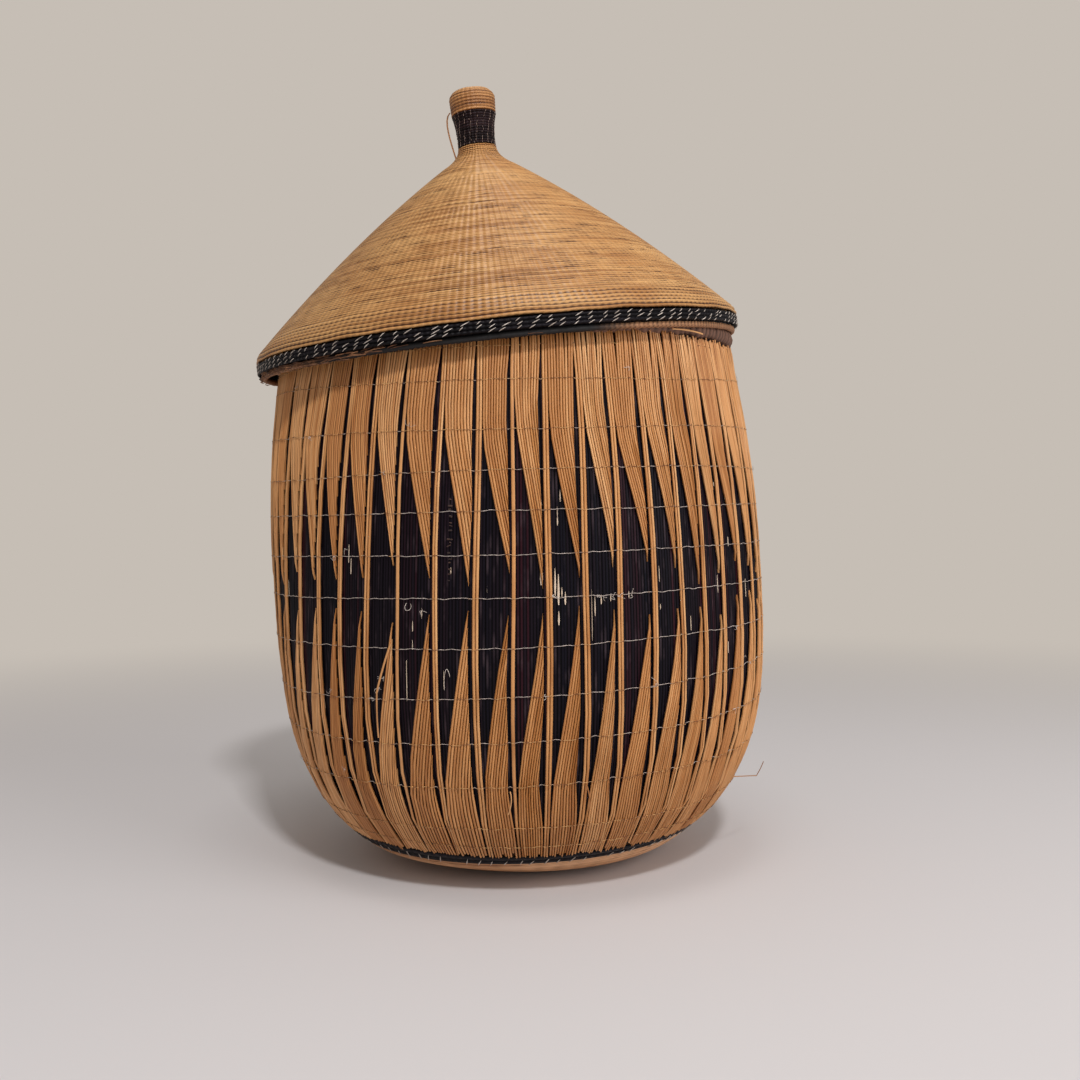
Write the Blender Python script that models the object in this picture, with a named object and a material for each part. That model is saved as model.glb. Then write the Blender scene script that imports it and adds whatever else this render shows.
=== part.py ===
"""Agaseke: a tall coiled basket whose wall is covered with reeds, under a pointed coiled lid.

Metres, +Z up. The origin is the middle of the flat foot, on the floor, and the side that the
photograph shows faces -Y. A straight basket is modelled first. The function as_woven then gives
every piece of it the lean of the handmade one, and the lid has a frame of its own, askew on the rim.
"""

import math

import bmesh
import bpy
import numpy
from mathutils import Matrix, Vector

MM = 0.001

# What touches keeps this gap.
CLEARANCE = 0.3 * MM

# The basket's outer form, reeds included
FOOT_RADIUS = 44 * MM
BELLY_RADIUS = 126.6 * MM
BELLY_HEIGHT = 150 * MM
RIM_DRAWN_IN = 9.6 * MM
RIM_RADIUS = BELLY_RADIUS - RIM_DRAWN_IN
WALL_HEIGHT = 252.2 * MM
UNDER_CURVE = 3.4

# Layers of the wall, from the outside in
REED_THICK = 1.2 * MM
DYED_REED_THICK = 1.2 * MM
COIL_THICK = 4 * MM

# Foot and the black band above it, as heights on the outer form
BAND_FOOT = 15 * MM
BAND_TOP = 20.4 * MM
BAND_ROWS = 2
BAND_ROW_DEPTH = 0.4 * MM
# Points of the saucer-like underside and of its hollow, as shares of the height of the band's lower edge
UNDER_SHARES = (0, 0.1, 0.3, 0.6, 1)
HOLLOW_SHARES = (1, 0.15)

# The pattern of reeds. What belongs to its upper half is measured down from the rim.
PERIODS = 50
PATTERN_TURN = math.radians(-0.9)
STRIP_WIDTH = 3.2 * MM
SLIT_WIDTH = 1.7 * MM
POINT_WIDTH = 0.8 * MM
POINT_HEIGHT = 140 * MM
POINT_GAP = 14 * MM
UPPER_SPLIT = WALL_HEIGHT - 39.2 * MM
LOWER_MERGE = 50 * MM
SLIT_TOP = WALL_HEIGHT - 7.2 * MM
SLIT_FOOT = 35 * MM
# The reeds stand more upright than the leaning body. They drift round it by this angle for each metre up.
REED_DRIFT = math.radians(28)
# Where the lower bundles have two more points on their way up, as shares of their slanted edge
LOWER_BENDS = (0.3, 0.65)

# Tie threads
THREAD_ROWS = 12
THREAD_LOWEST = 37 * MM
THREAD_SECOND = WALL_HEIGHT - 16.7 * MM
THREAD_HIGHEST = WALL_HEIGHT - 4.5 * MM
THREAD_WIDTH = 0.9 * MM
THREAD_THICK = 0.6 * MM
THREAD_SIDES = PERIODS // 2

# Wrapped coil on the rim
RIM_COIL = 8 * MM
RIM_OVERHANG = 2 * MM

# How the handmade basket leans and where its rim dips towards the front
LEAN_LEFT = math.radians(3.0)
LEAN_FORWARD = math.radians(1.0)
LEAN_START = 15 * MM
RIM_DIP = math.radians(1.4)
DIP_START = WALL_HEIGHT - 82.2 * MM

# The lid, which has slid to the left and forward and is tipped the same two ways
LID_PLAY = 0.4 * MM
SLID_LEFT = 2.5 * MM
SLID_FORWARD = 2.5 * MM
TIPPED_LEFT = math.radians(2.4)
TIPPED_FORWARD = math.radians(2.4)
LID_WALL = 3.5 * MM
EDGE_COIL = 2.2 * MM
LID_BAND = 5.2 * MM
LID_BAND_ROWS = 3
LID_BAND_ROW_DEPTH = 0.6 * MM
LID_OVERHANG = 5 * MM
SHOULDER_BEND = 7 * MM
SHOULDER_ROWS = 6
SHOULDER_ROW_PITCH = 2.2 * MM
SHOULDER_ROW_DEPTH = 0.4 * MM
CONE_TOP_RADIUS = 20 * MM
CONE_TOP = 98.3 * MM
CONE_CROWN = 4 * MM
CONE_POINTS = 5
NECK_TOP = 109.6 * MM
NECK_RADIUS = 10 * MM
NECK_SHARES = (0.35, 0.7, 1)

# Collar inside the lid. Its play is the room between it and the wall's lining.
COLLAR_PLAY = 6 * MM
COLLAR_WALL = 4 * MM
COLLAR_DEPTH = 15 * MM
LEDGE_THICK = 2.6 * MM

# Knob
WAIST_HEIGHT = 16 * MM
WAIST_RADIUS = 9.7 * MM
WAIST_ROWS = 7
CAP_HEIGHT = 12 * MM
CAP_FOOT_RADIUS = 11.5 * MM
CAP_TOP_RADIUS = 12 * MM
CAP_ROWS = 5
CAP_ROUNDING = 3 * MM
CAP_ROUNDING_SHARE = 0.35
CAP_HOLLOW = 0.8 * MM
CAP_HOLLOW_RADIUS = 8.2 * MM
KNOB_ROW_DEPTH = 0.35 * MM
KNOB_SIDES = 16

# Points round the section of a wrapped coil, and the angle above which an edge is drawn sharp
RIM_COIL_POINTS = 8
EDGE_COIL_POINTS = 6
SHARP_ANGLE = math.radians(35)

PERIOD = math.tau / PERIODS
LOWER_TIP = POINT_HEIGHT - POINT_GAP / 2
UPPER_TIP = POINT_HEIGHT + POINT_GAP / 2
COIL_RADIUS = RIM_COIL / 2
RIM_COIL_RADIUS = RIM_RADIUS + RIM_OVERHANG - COIL_RADIUS
RIM_COIL_HEIGHT = WALL_HEIGHT + CLEARANCE + COIL_RADIUS
DYED_INSET = REED_THICK + CLEARANCE
COIL_INSET = DYED_INSET + DYED_REED_THICK + CLEARANCE
INSIDE_INSET = COIL_INSET + COIL_THICK
COLLAR_RADIUS = RIM_RADIUS - INSIDE_INSET - COLLAR_PLAY


def smooth_step(value, start, end):
    """0 before start, 1 after end, with an easy curve between them."""
    share = min(max((value - start) / (end - start), 0), 1)
    return share * share * (3 - 2 * share)


# The basket's form
def outer_radius(height):
    if height >= BELLY_HEIGHT:
        rise = (height - BELLY_HEIGHT) / (WALL_HEIGHT - BELLY_HEIGHT)
        return BELLY_RADIUS - (BELLY_RADIUS - RIM_RADIUS) * rise**2
    drop = 1 - height / BELLY_HEIGHT
    return FOOT_RADIUS + (BELLY_RADIUS - FOOT_RADIUS) * math.sqrt(1 - drop**UNDER_CURVE)


def skin_point(height, inset):
    """(radius, height) of the point that lies inset behind the outer form, square to it."""
    step = 0.1 * MM
    slope = (outer_radius(height + step) - outer_radius(height)) / step
    length = math.hypot(1, slope)
    return outer_radius(height) - inset / length, height + inset * slope / length


def reed_stations():
    """Heights at which the natural reeds have their points."""
    bends = [LOWER_MERGE + share * (LOWER_TIP - LOWER_MERGE) for share in LOWER_BENDS]
    lower = [BAND_TOP + CLEARANCE, SLIT_FOOT, LOWER_MERGE] + bends
    return lower + [LOWER_TIP, UPPER_TIP, UPPER_SPLIT, SLIT_TOP, WALL_HEIGHT]


REED_STATIONS = reed_stations()
# A layer behind the reeds skips some stations. The form bulges, so it then lies deeper, never through them.
DYED_STATIONS = [height for height in REED_STATIONS if height not in (SLIT_FOOT, UPPER_TIP, SLIT_TOP)]
COIL_STATIONS = DYED_STATIONS[:3] + DYED_STATIONS[4:]


def layer_point(height, inset):
    """(radius, height) on the straight stretch between two stations, so that layers stay apart."""
    index = max(i for i, station in enumerate(REED_STATIONS[:-1]) if station <= height or i == 0)
    low, high = REED_STATIONS[index], REED_STATIONS[index + 1]
    share = (height - low) / (high - low)
    start = skin_point(low, inset)
    end = skin_point(high, inset)
    return start[0] + (end[0] - start[0]) * share, start[1] + (end[1] - start[1]) * share


def at_azimuth(radius, azimuth, height):
    """A point at an angle counted from the front, -Y, towards +X."""
    return Vector((radius * math.sin(azimuth), -radius * math.cos(azimuth), height))


# How the real basket stands
LEAN = Matrix.Rotation(-LEAN_LEFT, 4, "Y") @ Matrix.Rotation(LEAN_FORWARD, 4, "X")
RIM_CENTRE = Matrix.Translation((0, 0, WALL_HEIGHT))
DIP = RIM_CENTRE @ Matrix.Rotation(RIM_DIP, 4, "X") @ RIM_CENTRE.inverted()


DIP_SHARES = [smooth_step(height, DIP_START, WALL_HEIGHT) for height in REED_STATIONS]


def as_woven(point):
    """Moves a point of the straight basket to its place in the leaning one. The foot stays flat."""
    at_rim = Vector((point.x, point.y, max(point.z, WALL_HEIGHT)))
    dipped = point + (DIP @ at_rim - at_rim) * numpy.interp(point.z, REED_STATIONS, DIP_SHARES)
    return dipped.lerp(LEAN @ dipped, smooth_step(point.z, 0, LEAN_START))


def lid_rest_height():
    """Height at which the lid's edge coil, slid and tipped, lies on the rim coil."""
    reach = COIL_RADIUS + EDGE_COIL / 2 + CLEARANCE
    heights = []
    for step in range(PERIODS):
        right = math.cos(step * PERIOD)
        back = math.sin(step * PERIOD)
        apart = EDGE_RADIUS - SLID_LEFT * right - SLID_FORWARD * back - RIM_COIL_RADIUS
        raised = EDGE_RADIUS * (right * math.sin(TIPPED_LEFT) + back * math.sin(TIPPED_FORWARD))
        if abs(apart) < reach:
            heights.append(math.sqrt(reach**2 - apart**2) - raised - EDGE_COIL / 2)
    return max(heights)


LID_BORE = RIM_COIL_RADIUS + COIL_RADIUS + LID_PLAY
EDGE_RADIUS = LID_BORE + CLEARANCE + EDGE_COIL / 2
LID_RADIUS = LID_BORE + LID_OVERHANG
LID_REST = lid_rest_height()
LID_FRAME = (
    LEAN
    @ DIP
    @ Matrix.Translation((-SLID_LEFT, -SLID_FORWARD, RIM_COIL_HEIGHT + LID_REST))
    @ Matrix.Rotation(-TIPPED_LEFT, 4, "Y")
    @ Matrix.Rotation(TIPPED_FORWARD, 4, "X")
)
TIPPED = math.hypot(TIPPED_LEFT, TIPPED_FORWARD)
LEDGE_HEIGHT = RIM_COIL_RADIUS * math.sin(TIPPED) - LID_REST + COIL_RADIUS + CLEARANCE
LID_BAND_FOOT = EDGE_COIL + CLEARANCE
CONE_FOOT = LID_BAND_FOOT + LID_BAND + CLEARANCE
LEDGE_TOP = LEDGE_HEIGHT + LEDGE_THICK


# Materials
def linear(channel):
    return channel / 12.92 if channel <= 0.04045 else ((channel + 0.055) / 1.055) ** 2.4


def principled(name, colour, roughness):
    material = bpy.data.materials.new(name)
    material.use_nodes = True
    shader = material.node_tree.nodes["Principled BSDF"]
    channels = [linear(int(colour[i : i + 2], 16) / 255) for i in (0, 2, 4)]
    shader.inputs["Base Color"].default_value = (*channels, 1)
    shader.inputs["Roughness"].default_value = roughness
    shader.inputs["Metallic"].default_value = 0
    return material


# Shared modelling steps
def add_object(name, bm, material, bend=None, parent=None):
    """Makes an object from a bmesh whose faces are turned outward."""
    if bend:
        for vertex in bm.verts:
            vertex.co = bend(vertex.co)
    bmesh.ops.recalc_face_normals(bm, faces=bm.faces)
    mesh = bpy.data.meshes.new(name)
    bm.to_mesh(mesh)
    bm.free()
    mesh.materials.append(material)
    mesh.shade_smooth()
    mesh.set_sharp_from_angle(angle=SHARP_ANGLE)
    obj = bpy.data.objects.new(name, mesh)
    bpy.context.scene.collection.objects.link(obj)
    obj.parent = parent
    return obj


def turned(name, profile, material, bend=None, parent=None, sides=PERIODS):
    """Spins a closed outline of (radius, height) points. A corner of the ring lies between two strips."""
    bm = bmesh.new()
    start = PATTERN_TURN + PERIOD / 2
    corners = [bm.verts.new(at_azimuth(radius, start, height)) for radius, height in profile]
    edges = []
    for i, (radius, _) in enumerate(profile):
        if radius > 0 or profile[i - 1][0] > 0:
            edges.append(bm.edges.new((corners[i - 1], corners[i])))
    bmesh.ops.spin(
        bm, geom=corners + edges, cent=(0, 0, 0), axis=(0, 0, 1), angle=math.tau, steps=sides, use_merge=True
    )
    bmesh.ops.remove_doubles(bm, verts=bm.verts, dist=CLEARANCE / 10)
    return add_object(name, bm, material, bend, parent)


def coil_outline(ring_radius, thickness, height, points):
    """Round section of one coil."""
    angles = [math.tau * i / points for i in range(points)]
    half = thickness / 2
    return [(ring_radius + half * math.cos(a), height + half * math.sin(a)) for a in angles]


def rows_outline(rows, place):
    """Valleys and crests of coil rows, where place(share, out) gives the point at a share of the way."""
    outline = []
    for i in range(rows):
        outline.append(place(i / rows, 0))
        outline.append(place((i + 0.5) / rows, 1))
    outline.append(place(1, 0))
    return outline


def strip_azimuth(index, height):
    return PATTERN_TURN + index * PERIOD + REED_DRIFT * (height - POINT_HEIGHT)


def make_foot_and_wall(material):
    """The coiled basket proper: its saucer-like bottom and the wall that carries the reeds."""
    under = [skin_point(BAND_FOOT * share, 0) for share in UNDER_SHARES]
    seat = [skin_point(BAND_FOOT + CLEARANCE, COIL_INSET), skin_point(BAND_TOP, COIL_INSET)]
    hollow = [skin_point(BAND_TOP, INSIDE_INSET)]
    hollow += [skin_point(BAND_FOOT * share, INSIDE_INSET) for share in HOLLOW_SHARES]
    floor_height = hollow[-1][1]
    outline = [(0, 0)] + under + seat + hollow + [(0, floor_height)]
    turned("foot_coil", outline, material, as_woven)
    outside = [layer_point(height, COIL_INSET) for height in COIL_STATIONS]
    lining = [layer_point(height, INSIDE_INSET) for height in COIL_STATIONS]
    turned("wall_coil", outside + lining[::-1], material, as_woven)


def make_base_band(material):
    """Black stitched rows that draw the reeds in above the foot."""
    low = BAND_FOOT + CLEARANCE

    def place(share, out):
        return skin_point(low + (BAND_TOP - low) * share, BAND_ROW_DEPTH * (1 - out))

    outline = rows_outline(BAND_ROWS, place)
    back = [skin_point(height, COIL_INSET - CLEARANCE) for height in (BAND_TOP, low)]
    turned("base_band", outline + back, material, as_woven)


def make_dyed_reeds(material):
    outside = [layer_point(height, DYED_INSET) for height in DYED_STATIONS]
    back = [layer_point(height, DYED_INSET + DYED_REED_THICK) for height in DYED_STATIONS]
    turned("dyed_reeds", outside + back[::-1], material, as_woven)


def bundle_share(height):
    """How far a bundle's slanted edge has left its strip: 0 beside the strip, 1 at the bundle's point."""
    if height <= POINT_HEIGHT:
        share = (height - LOWER_MERGE) / (LOWER_TIP - LOWER_MERGE)
    else:
        share = (UPPER_SPLIT - height) / (UPPER_SPLIT - UPPER_TIP)
    return max(share, 0)


def reed_azimuth(column, index, height):
    """Azimuth of one of a period's upright edges: its strip's two sides, or its bundle's two sides."""
    radius = outer_radius(height)
    strip_side = strip_azimuth(index, height) + STRIP_WIDTH / 2 / radius
    bundle_right = strip_azimuth(index + 1, height) - (STRIP_WIDTH / 2 + SLIT_WIDTH) / radius
    point_side = bundle_right - POINT_WIDTH / radius
    sides = {
        "strip left": strip_azimuth(index, height) - STRIP_WIDTH / 2 / radius,
        "strip right": strip_side,
        "bundle left": strip_side + (point_side - strip_side) * bundle_share(height),
        "bundle right": bundle_right,
    }
    return sides[column]


def make_natural_reeds(material):
    """Sleeve of natural reeds: straight strips, upper and lower bundles cut to points, and open slits."""
    bm = bmesh.new()
    corners = {}

    def corner(column, index, height):
        if column == "bundle left" and bundle_share(height) == 0:
            column = "strip right"
        key = (column, index % PERIODS, height)
        if key not in corners:
            radius, level = layer_point(height, 0)
            corners[key] = bm.verts.new(at_azimuth(radius, reed_azimuth(column, index, height), level))
        return corners[key]

    def plate(left, right, index, right_index, low, high):
        bottom = corner(left, index, low), corner(right, right_index, low)
        top = corner(right, right_index, high), corner(left, index, high)
        bm.faces.new(bottom + top)

    for index in range(PERIODS):
        for low, high in zip(REED_STATIONS, REED_STATIONS[1:]):
            plate("strip left", "strip right", index, index, low, high)
            if low != LOWER_TIP:
                plate("bundle left", "bundle right", index, index, low, high)
            if high <= SLIT_FOOT or low >= SLIT_TOP:
                plate("bundle right", "strip left", index, index + 1, low, high)
    backs = bmesh.ops.extrude_face_region(bm, geom=bm.faces[:], use_keep_orig=True)
    for vertex in [item for item in backs["geom"] if isinstance(item, bmesh.types.BMVert)]:
        radius, level = layer_point(vertex.co.z, REED_THICK - CLEARANCE / 2)
        flat = vertex.co.xy.normalized() * radius
        vertex.co = (flat.x, flat.y, level)
    add_object("natural_reeds", bm, material, as_woven)


def make_threads(material):
    """Tie threads, each a ring over the reeds. They are evenly spaced but for the one below the rim."""
    heights = [*numpy.linspace(THREAD_LOWEST, THREAD_SECOND, THREAD_ROWS - 1), THREAD_HIGHEST]
    for row, height in enumerate(heights):
        flat_dip = outer_radius(height) * (1 - math.cos(math.pi / THREAD_SIDES))
        behind = -CLEARANCE - flat_dip
        outline = [
            layer_point(height - THREAD_WIDTH / 2, behind),
            layer_point(height, behind - THREAD_THICK),
            layer_point(height + THREAD_WIDTH / 2, behind),
        ]
        turned(f"tie_thread_{row + 1:02d}", outline, material, as_woven, sides=THREAD_SIDES)


def make_rim_coil(material):
    outline = coil_outline(RIM_COIL_RADIUS, RIM_COIL, RIM_COIL_HEIGHT, RIM_COIL_POINTS)
    turned("rim_coil", outline, material, as_woven)


# The lid's cone
SLOPE_RUN = LID_RADIUS - CONE_TOP_RADIUS
SLOPE_ANGLE = math.atan2(SLOPE_RUN, CONE_TOP - CONE_FOOT)
BEND_LENGTH = SHOULDER_BEND * SLOPE_ANGLE
CONE_START = (
    LID_RADIUS - SHOULDER_BEND * (1 - math.cos(SLOPE_ANGLE)),
    CONE_FOOT + SHOULDER_BEND * math.sin(SLOPE_ANGLE),
)
CONE_LENGTH = math.hypot(CONE_START[0] - CONE_TOP_RADIUS, CONE_TOP - CONE_START[1])


def cone_point(along, inset):
    """(radius, height) on the lid's outer form, inset square to it, along the way up from its foot."""
    if along < BEND_LENGTH:
        turn = along / SHOULDER_BEND
        radius = LID_RADIUS - SHOULDER_BEND * (1 - math.cos(turn))
        height = CONE_FOOT + SHOULDER_BEND * math.sin(turn)
    else:
        turn = math.atan2(CONE_START[0] - CONE_TOP_RADIUS, CONE_TOP - CONE_START[1])
        share = (along - BEND_LENGTH) / CONE_LENGTH
        radius = CONE_START[0] + (CONE_TOP_RADIUS - CONE_START[0]) * share
        height = CONE_START[1] + (CONE_TOP - CONE_START[1]) * share + 4 * CONE_CROWN * share * (1 - share)
    return radius - inset * math.cos(turn), height - inset * math.sin(turn)


def make_lid_cone(material, parent):
    """Coiled cone: heavy rows at its shoulder, a plain slope, and the neck of the knob."""
    rows_length = SHOULDER_ROWS * SHOULDER_ROW_PITCH
    whole = BEND_LENGTH + CONE_LENGTH

    def place(share, out):
        return cone_point(rows_length * share, SHOULDER_ROW_DEPTH * (1 - out))

    shoulder = rows_outline(SHOULDER_ROWS, place)
    shares = [i / CONE_POINTS for i in range(1, CONE_POINTS + 1)]
    slope = [cone_point(rows_length + (whole - rows_length) * share, 0) for share in shares]
    neck = []
    for share in NECK_SHARES:
        flare = (CONE_TOP_RADIUS - NECK_RADIUS) * (1 - share) ** 2
        neck.append((NECK_RADIUS + flare, CONE_TOP + (NECK_TOP - CONE_TOP) * share))
    inner_shares = [1 - i / CONE_POINTS for i in range(CONE_POINTS)]
    lining = [cone_point(BEND_LENGTH + CONE_LENGTH * share, LID_WALL) for share in inner_shares]
    mouth = [(LID_BORE, LEDGE_TOP + CLEARANCE), (LID_BORE, CONE_FOOT)]
    outline = shoulder + slope + neck + [(0, NECK_TOP), (0, lining[0][1])] + lining + mouth
    turned("lid_cone", outline, material, parent=parent)


def make_lid_edge(edge_material, band_material, parent):
    """Wrapped coil of the lid's lower edge and the black coil rows above it."""
    coil = coil_outline(EDGE_RADIUS, EDGE_COIL, EDGE_COIL / 2, EDGE_COIL_POINTS)
    turned("lid_edge_coil", coil, edge_material, parent=parent)

    def place(share, out):
        return LID_RADIUS - LID_BAND_ROW_DEPTH * (1 - out), LID_BAND_FOOT + LID_BAND * share

    rows = rows_outline(LID_BAND_ROWS, place)
    back = [(LID_BORE, LID_BAND_FOOT + LID_BAND), (LID_BORE, LID_BAND_FOOT)]
    turned("lid_black_band", rows + back, band_material, parent=parent)


def make_lid_collar(material, parent):
    """Ring that drops into the mouth, and the ledge by which the lid's lower side lies on the rim coil."""
    inner = COLLAR_RADIUS - COLLAR_WALL
    ledge_edge = LID_BORE - CLEARANCE
    outline = [
        (inner, LEDGE_HEIGHT - COLLAR_DEPTH),
        (COLLAR_RADIUS, LEDGE_HEIGHT - COLLAR_DEPTH),
        (COLLAR_RADIUS, LEDGE_HEIGHT),
        (ledge_edge, LEDGE_HEIGHT),
        (ledge_edge, LEDGE_TOP),
        (inner, LEDGE_TOP),
    ]
    turned("lid_collar", outline, material, parent=parent)


def make_knob(waist_material, cap_material, parent):
    """Black wound waist and natural cap, stacked on the neck."""
    waist_foot = NECK_TOP + CLEARANCE
    cap_foot = waist_foot + WAIST_HEIGHT + CLEARANCE

    def waist_place(share, out):
        flare = (CAP_FOOT_RADIUS - WAIST_RADIUS) * share**3
        return WAIST_RADIUS + flare - KNOB_ROW_DEPTH * (1 - out), waist_foot + WAIST_HEIGHT * share

    waist = rows_outline(WAIST_ROWS, waist_place)
    outline = [(0, waist_foot)] + waist + [(0, waist_foot + WAIST_HEIGHT)]
    turned("knob_waist", outline, waist_material, parent=parent, sides=KNOB_SIDES)

    def cap_place(share, out):
        radius = CAP_FOOT_RADIUS + (CAP_TOP_RADIUS - CAP_FOOT_RADIUS) * share
        rounded = CAP_ROUNDING * max(1 - (1 - share) / CAP_ROUNDING_SHARE, 0) ** 2
        return radius - rounded - KNOB_ROW_DEPTH * (1 - out), cap_foot + CAP_HEIGHT * share

    cap = rows_outline(CAP_ROWS, cap_place)
    crown = cap_foot + CAP_HEIGHT
    hollow = [(CAP_HOLLOW_RADIUS, crown), (0, crown - CAP_HOLLOW)]
    outline = [(0, cap_foot)] + cap + hollow
    turned("knob_cap", outline, cap_material, parent=parent, sides=KNOB_SIDES)


def main():
    for obj in list(bpy.data.objects):
        bpy.data.objects.remove(obj)
    coil = principled("natural coil", "C8914F", 0.6)
    reed = principled("natural reed", "D29A58", 0.5)
    dyed = principled("dyed black reed", "151216", 0.45)
    black = principled("dyed black coil", "141114", 0.55)
    thread = principled("tie thread", "BFB09E", 0.7)
    wrap = principled("brown wrapping", "5F412D", 0.7)

    make_foot_and_wall(coil)
    make_base_band(black)
    make_dyed_reeds(dyed)
    make_natural_reeds(reed)
    make_threads(thread)
    make_rim_coil(wrap)

    lid = bpy.data.objects.new("lid_axis", None)
    bpy.context.scene.collection.objects.link(lid)
    lid.matrix_world = LID_FRAME
    make_lid_edge(wrap, black, lid)
    make_lid_cone(coil, lid)
    make_lid_collar(coil, lid)
    make_knob(black, coil, lid)


main()
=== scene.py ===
# %% [markdown]
# Agaseke, dressed from its frame
#
# An agaseke is a tall lidded basket. Its wall is a coiled basket that hides behind two layers of
# reeds, and a pointed coiled lid sits on its rim. The frame holds every solid at its true place.
# This lesson covers each of them with the reeds, coils and stitches that the real one shows.

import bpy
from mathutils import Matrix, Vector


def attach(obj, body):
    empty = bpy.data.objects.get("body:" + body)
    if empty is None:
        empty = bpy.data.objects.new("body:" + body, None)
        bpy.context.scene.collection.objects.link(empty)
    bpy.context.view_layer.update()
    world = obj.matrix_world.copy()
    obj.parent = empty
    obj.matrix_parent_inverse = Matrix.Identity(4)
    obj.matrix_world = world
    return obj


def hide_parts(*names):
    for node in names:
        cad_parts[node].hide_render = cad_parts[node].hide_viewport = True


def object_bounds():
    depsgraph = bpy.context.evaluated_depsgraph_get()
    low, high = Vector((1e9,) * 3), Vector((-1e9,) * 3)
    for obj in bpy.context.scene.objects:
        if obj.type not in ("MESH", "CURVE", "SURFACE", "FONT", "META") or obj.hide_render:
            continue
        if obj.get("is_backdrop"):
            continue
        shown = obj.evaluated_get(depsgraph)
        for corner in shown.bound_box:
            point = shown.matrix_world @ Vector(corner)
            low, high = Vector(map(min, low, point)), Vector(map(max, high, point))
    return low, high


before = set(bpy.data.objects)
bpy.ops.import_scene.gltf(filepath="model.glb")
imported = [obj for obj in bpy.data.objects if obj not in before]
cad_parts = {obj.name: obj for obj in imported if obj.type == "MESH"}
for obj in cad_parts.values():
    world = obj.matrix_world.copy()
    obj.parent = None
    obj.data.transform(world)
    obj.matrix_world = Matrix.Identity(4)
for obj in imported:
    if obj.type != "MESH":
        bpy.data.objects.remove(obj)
cad_low, cad_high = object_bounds()
print("The frame's box in mm:", [round(1000 * side) for side in cad_high - cad_low])

# %% [markdown]
# Small tools come first. Colours are written as on a paint card, in sRGB hex, and turned to the
# linear values that Blender computes with. One function adds any node with its settings and links.
# An input goes by its name or its number: a Map Range reads from 1 to 2 and gives from 3 to 4, and a
# Mix goes by its share, 0, from colour 6 to colour 7.

# %% Tools for objects, colours and nodes
import math

import bmesh
import bpy
import numpy as np
from mathutils import Matrix

MM = 0.001
chance = np.random.default_rng(11)


def link_object(name, data):
    made = bpy.data.objects.new(name, data)
    bpy.context.scene.collection.objects.link(made)
    return made


def as_mesh(bm, name):
    mesh = bpy.data.meshes.new(name)
    bm.to_mesh(mesh)
    bm.free()
    return mesh


def linear_colour(code):
    """Linear red, green and blue of a colour in sRGB hex, and a full alpha."""
    channels = [int(code[i : i + 2], 16) / 255 for i in (0, 2, 4)]
    return (*[c / 12.92 if c <= 0.04045 else ((c + 0.055) / 1.055) ** 2.4 for c in channels], 1)


def feed(node, inputs):
    """Gives an input a number, a colour in hex, a socket, or a node, for that node's first live output."""
    for key, value in inputs.items():
        if isinstance(value, bpy.types.Node):
            value = next(socket for socket in value.outputs if socket.enabled)
        if isinstance(value, bpy.types.NodeSocket):
            node.id_data.links.new(value, node.inputs[key])
        else:
            node.inputs[key].default_value = linear_colour(value) if isinstance(value, str) else value


def add_node(tree, kind, inputs=None, **settings):
    """Adds a node. kind is the name of its type, less the word ShaderNode."""
    node = tree.nodes.new("ShaderNode" + kind)
    for name, value in settings.items():
        setattr(node, name, value)
    feed(node, inputs or {})
    return node


def new_material(name, roughness, specular=0.5):
    material = bpy.data.materials.new(name)
    material.use_nodes = True
    shader = material.node_tree.nodes["Principled BSDF"]
    feed(shader, {"Roughness": roughness, "Specular IOR Level": specular})
    return material, material.node_tree, shader


# %% [markdown]
# The camera looks level across the table from a little over half a metre, as in the photograph.
# The floor is plain and pale. It takes the basket's shadow. Away from the basket it fades, for the
# camera alone, into the paleness that the world shows behind it, so no horizon is seen.

# %% Camera
LENS = 36.67
SENSOR_WIDTH = 36
CAMERA_PLACE = (0.0043, -0.588, 0.1633)
CAMERA_PITCH = math.radians(-0.3)
CAMERA_ROLL = math.radians(0.6)

camera = link_object("camera", bpy.data.cameras.new("camera"))
camera.data.lens = LENS
camera.data.sensor_width = SENSOR_WIDTH
upright = Matrix.Rotation(math.radians(90) + CAMERA_PITCH, 4, "X")
camera.matrix_world = Matrix.Translation(CAMERA_PLACE) @ upright @ Matrix.Rotation(-CAMERA_ROLL, 4, "Z")
bpy.context.scene.camera = camera
bpy.context.scene.view_settings.view_transform = "Standard"
print("The camera is", round(-CAMERA_PLACE[1] / MM), "mm in front of the basket's axis")

# %% Floor and world
BACKGROUND = "C6BEB5"
FLOOR = "D6D2D3"
FLOOR_SIDE = 12
FADE_START = 0.3
FADE_END = 1.3
FILL = "FFF8F0"
FILL_STRENGTH = 0.37

bm = bmesh.new()
bmesh.ops.create_grid(bm, x_segments=1, y_segments=1, size=FLOOR_SIDE / 2)
floor = link_object("floor", as_mesh(bm, "floor"))
floor_material, tree, shader = new_material("pale cloth floor", 0.9)
floor.data.materials.append(floor_material)
where = add_node(tree, "TexCoord").outputs["Object"]
away = add_node(tree, "VectorMath", {0: where}, operation="LENGTH")
far = add_node(tree, "MapRange", {0: away, 1: FADE_START, 2: FADE_END}, interpolation_type="SMOOTHSTEP")
to_camera = add_node(tree, "LightPath").outputs["Is Camera Ray"]
seen_far = add_node(tree, "Math", {0: far, 1: to_camera}, operation="MULTIPLY")
paleness = add_node(tree, "Emission", {"Color": BACKGROUND, "Strength": 1})
blend = add_node(tree, "MixShader", {0: seen_far, 1: shader, 2: paleness})
feed(shader, {"Base Color": FLOOR})
feed(tree.nodes["Material Output"], {"Surface": blend})
floor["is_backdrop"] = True

world = bpy.data.worlds.new("studio")
bpy.context.scene.world = world
world.use_nodes = True
tree = world.node_tree
tree.nodes.clear()
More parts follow.
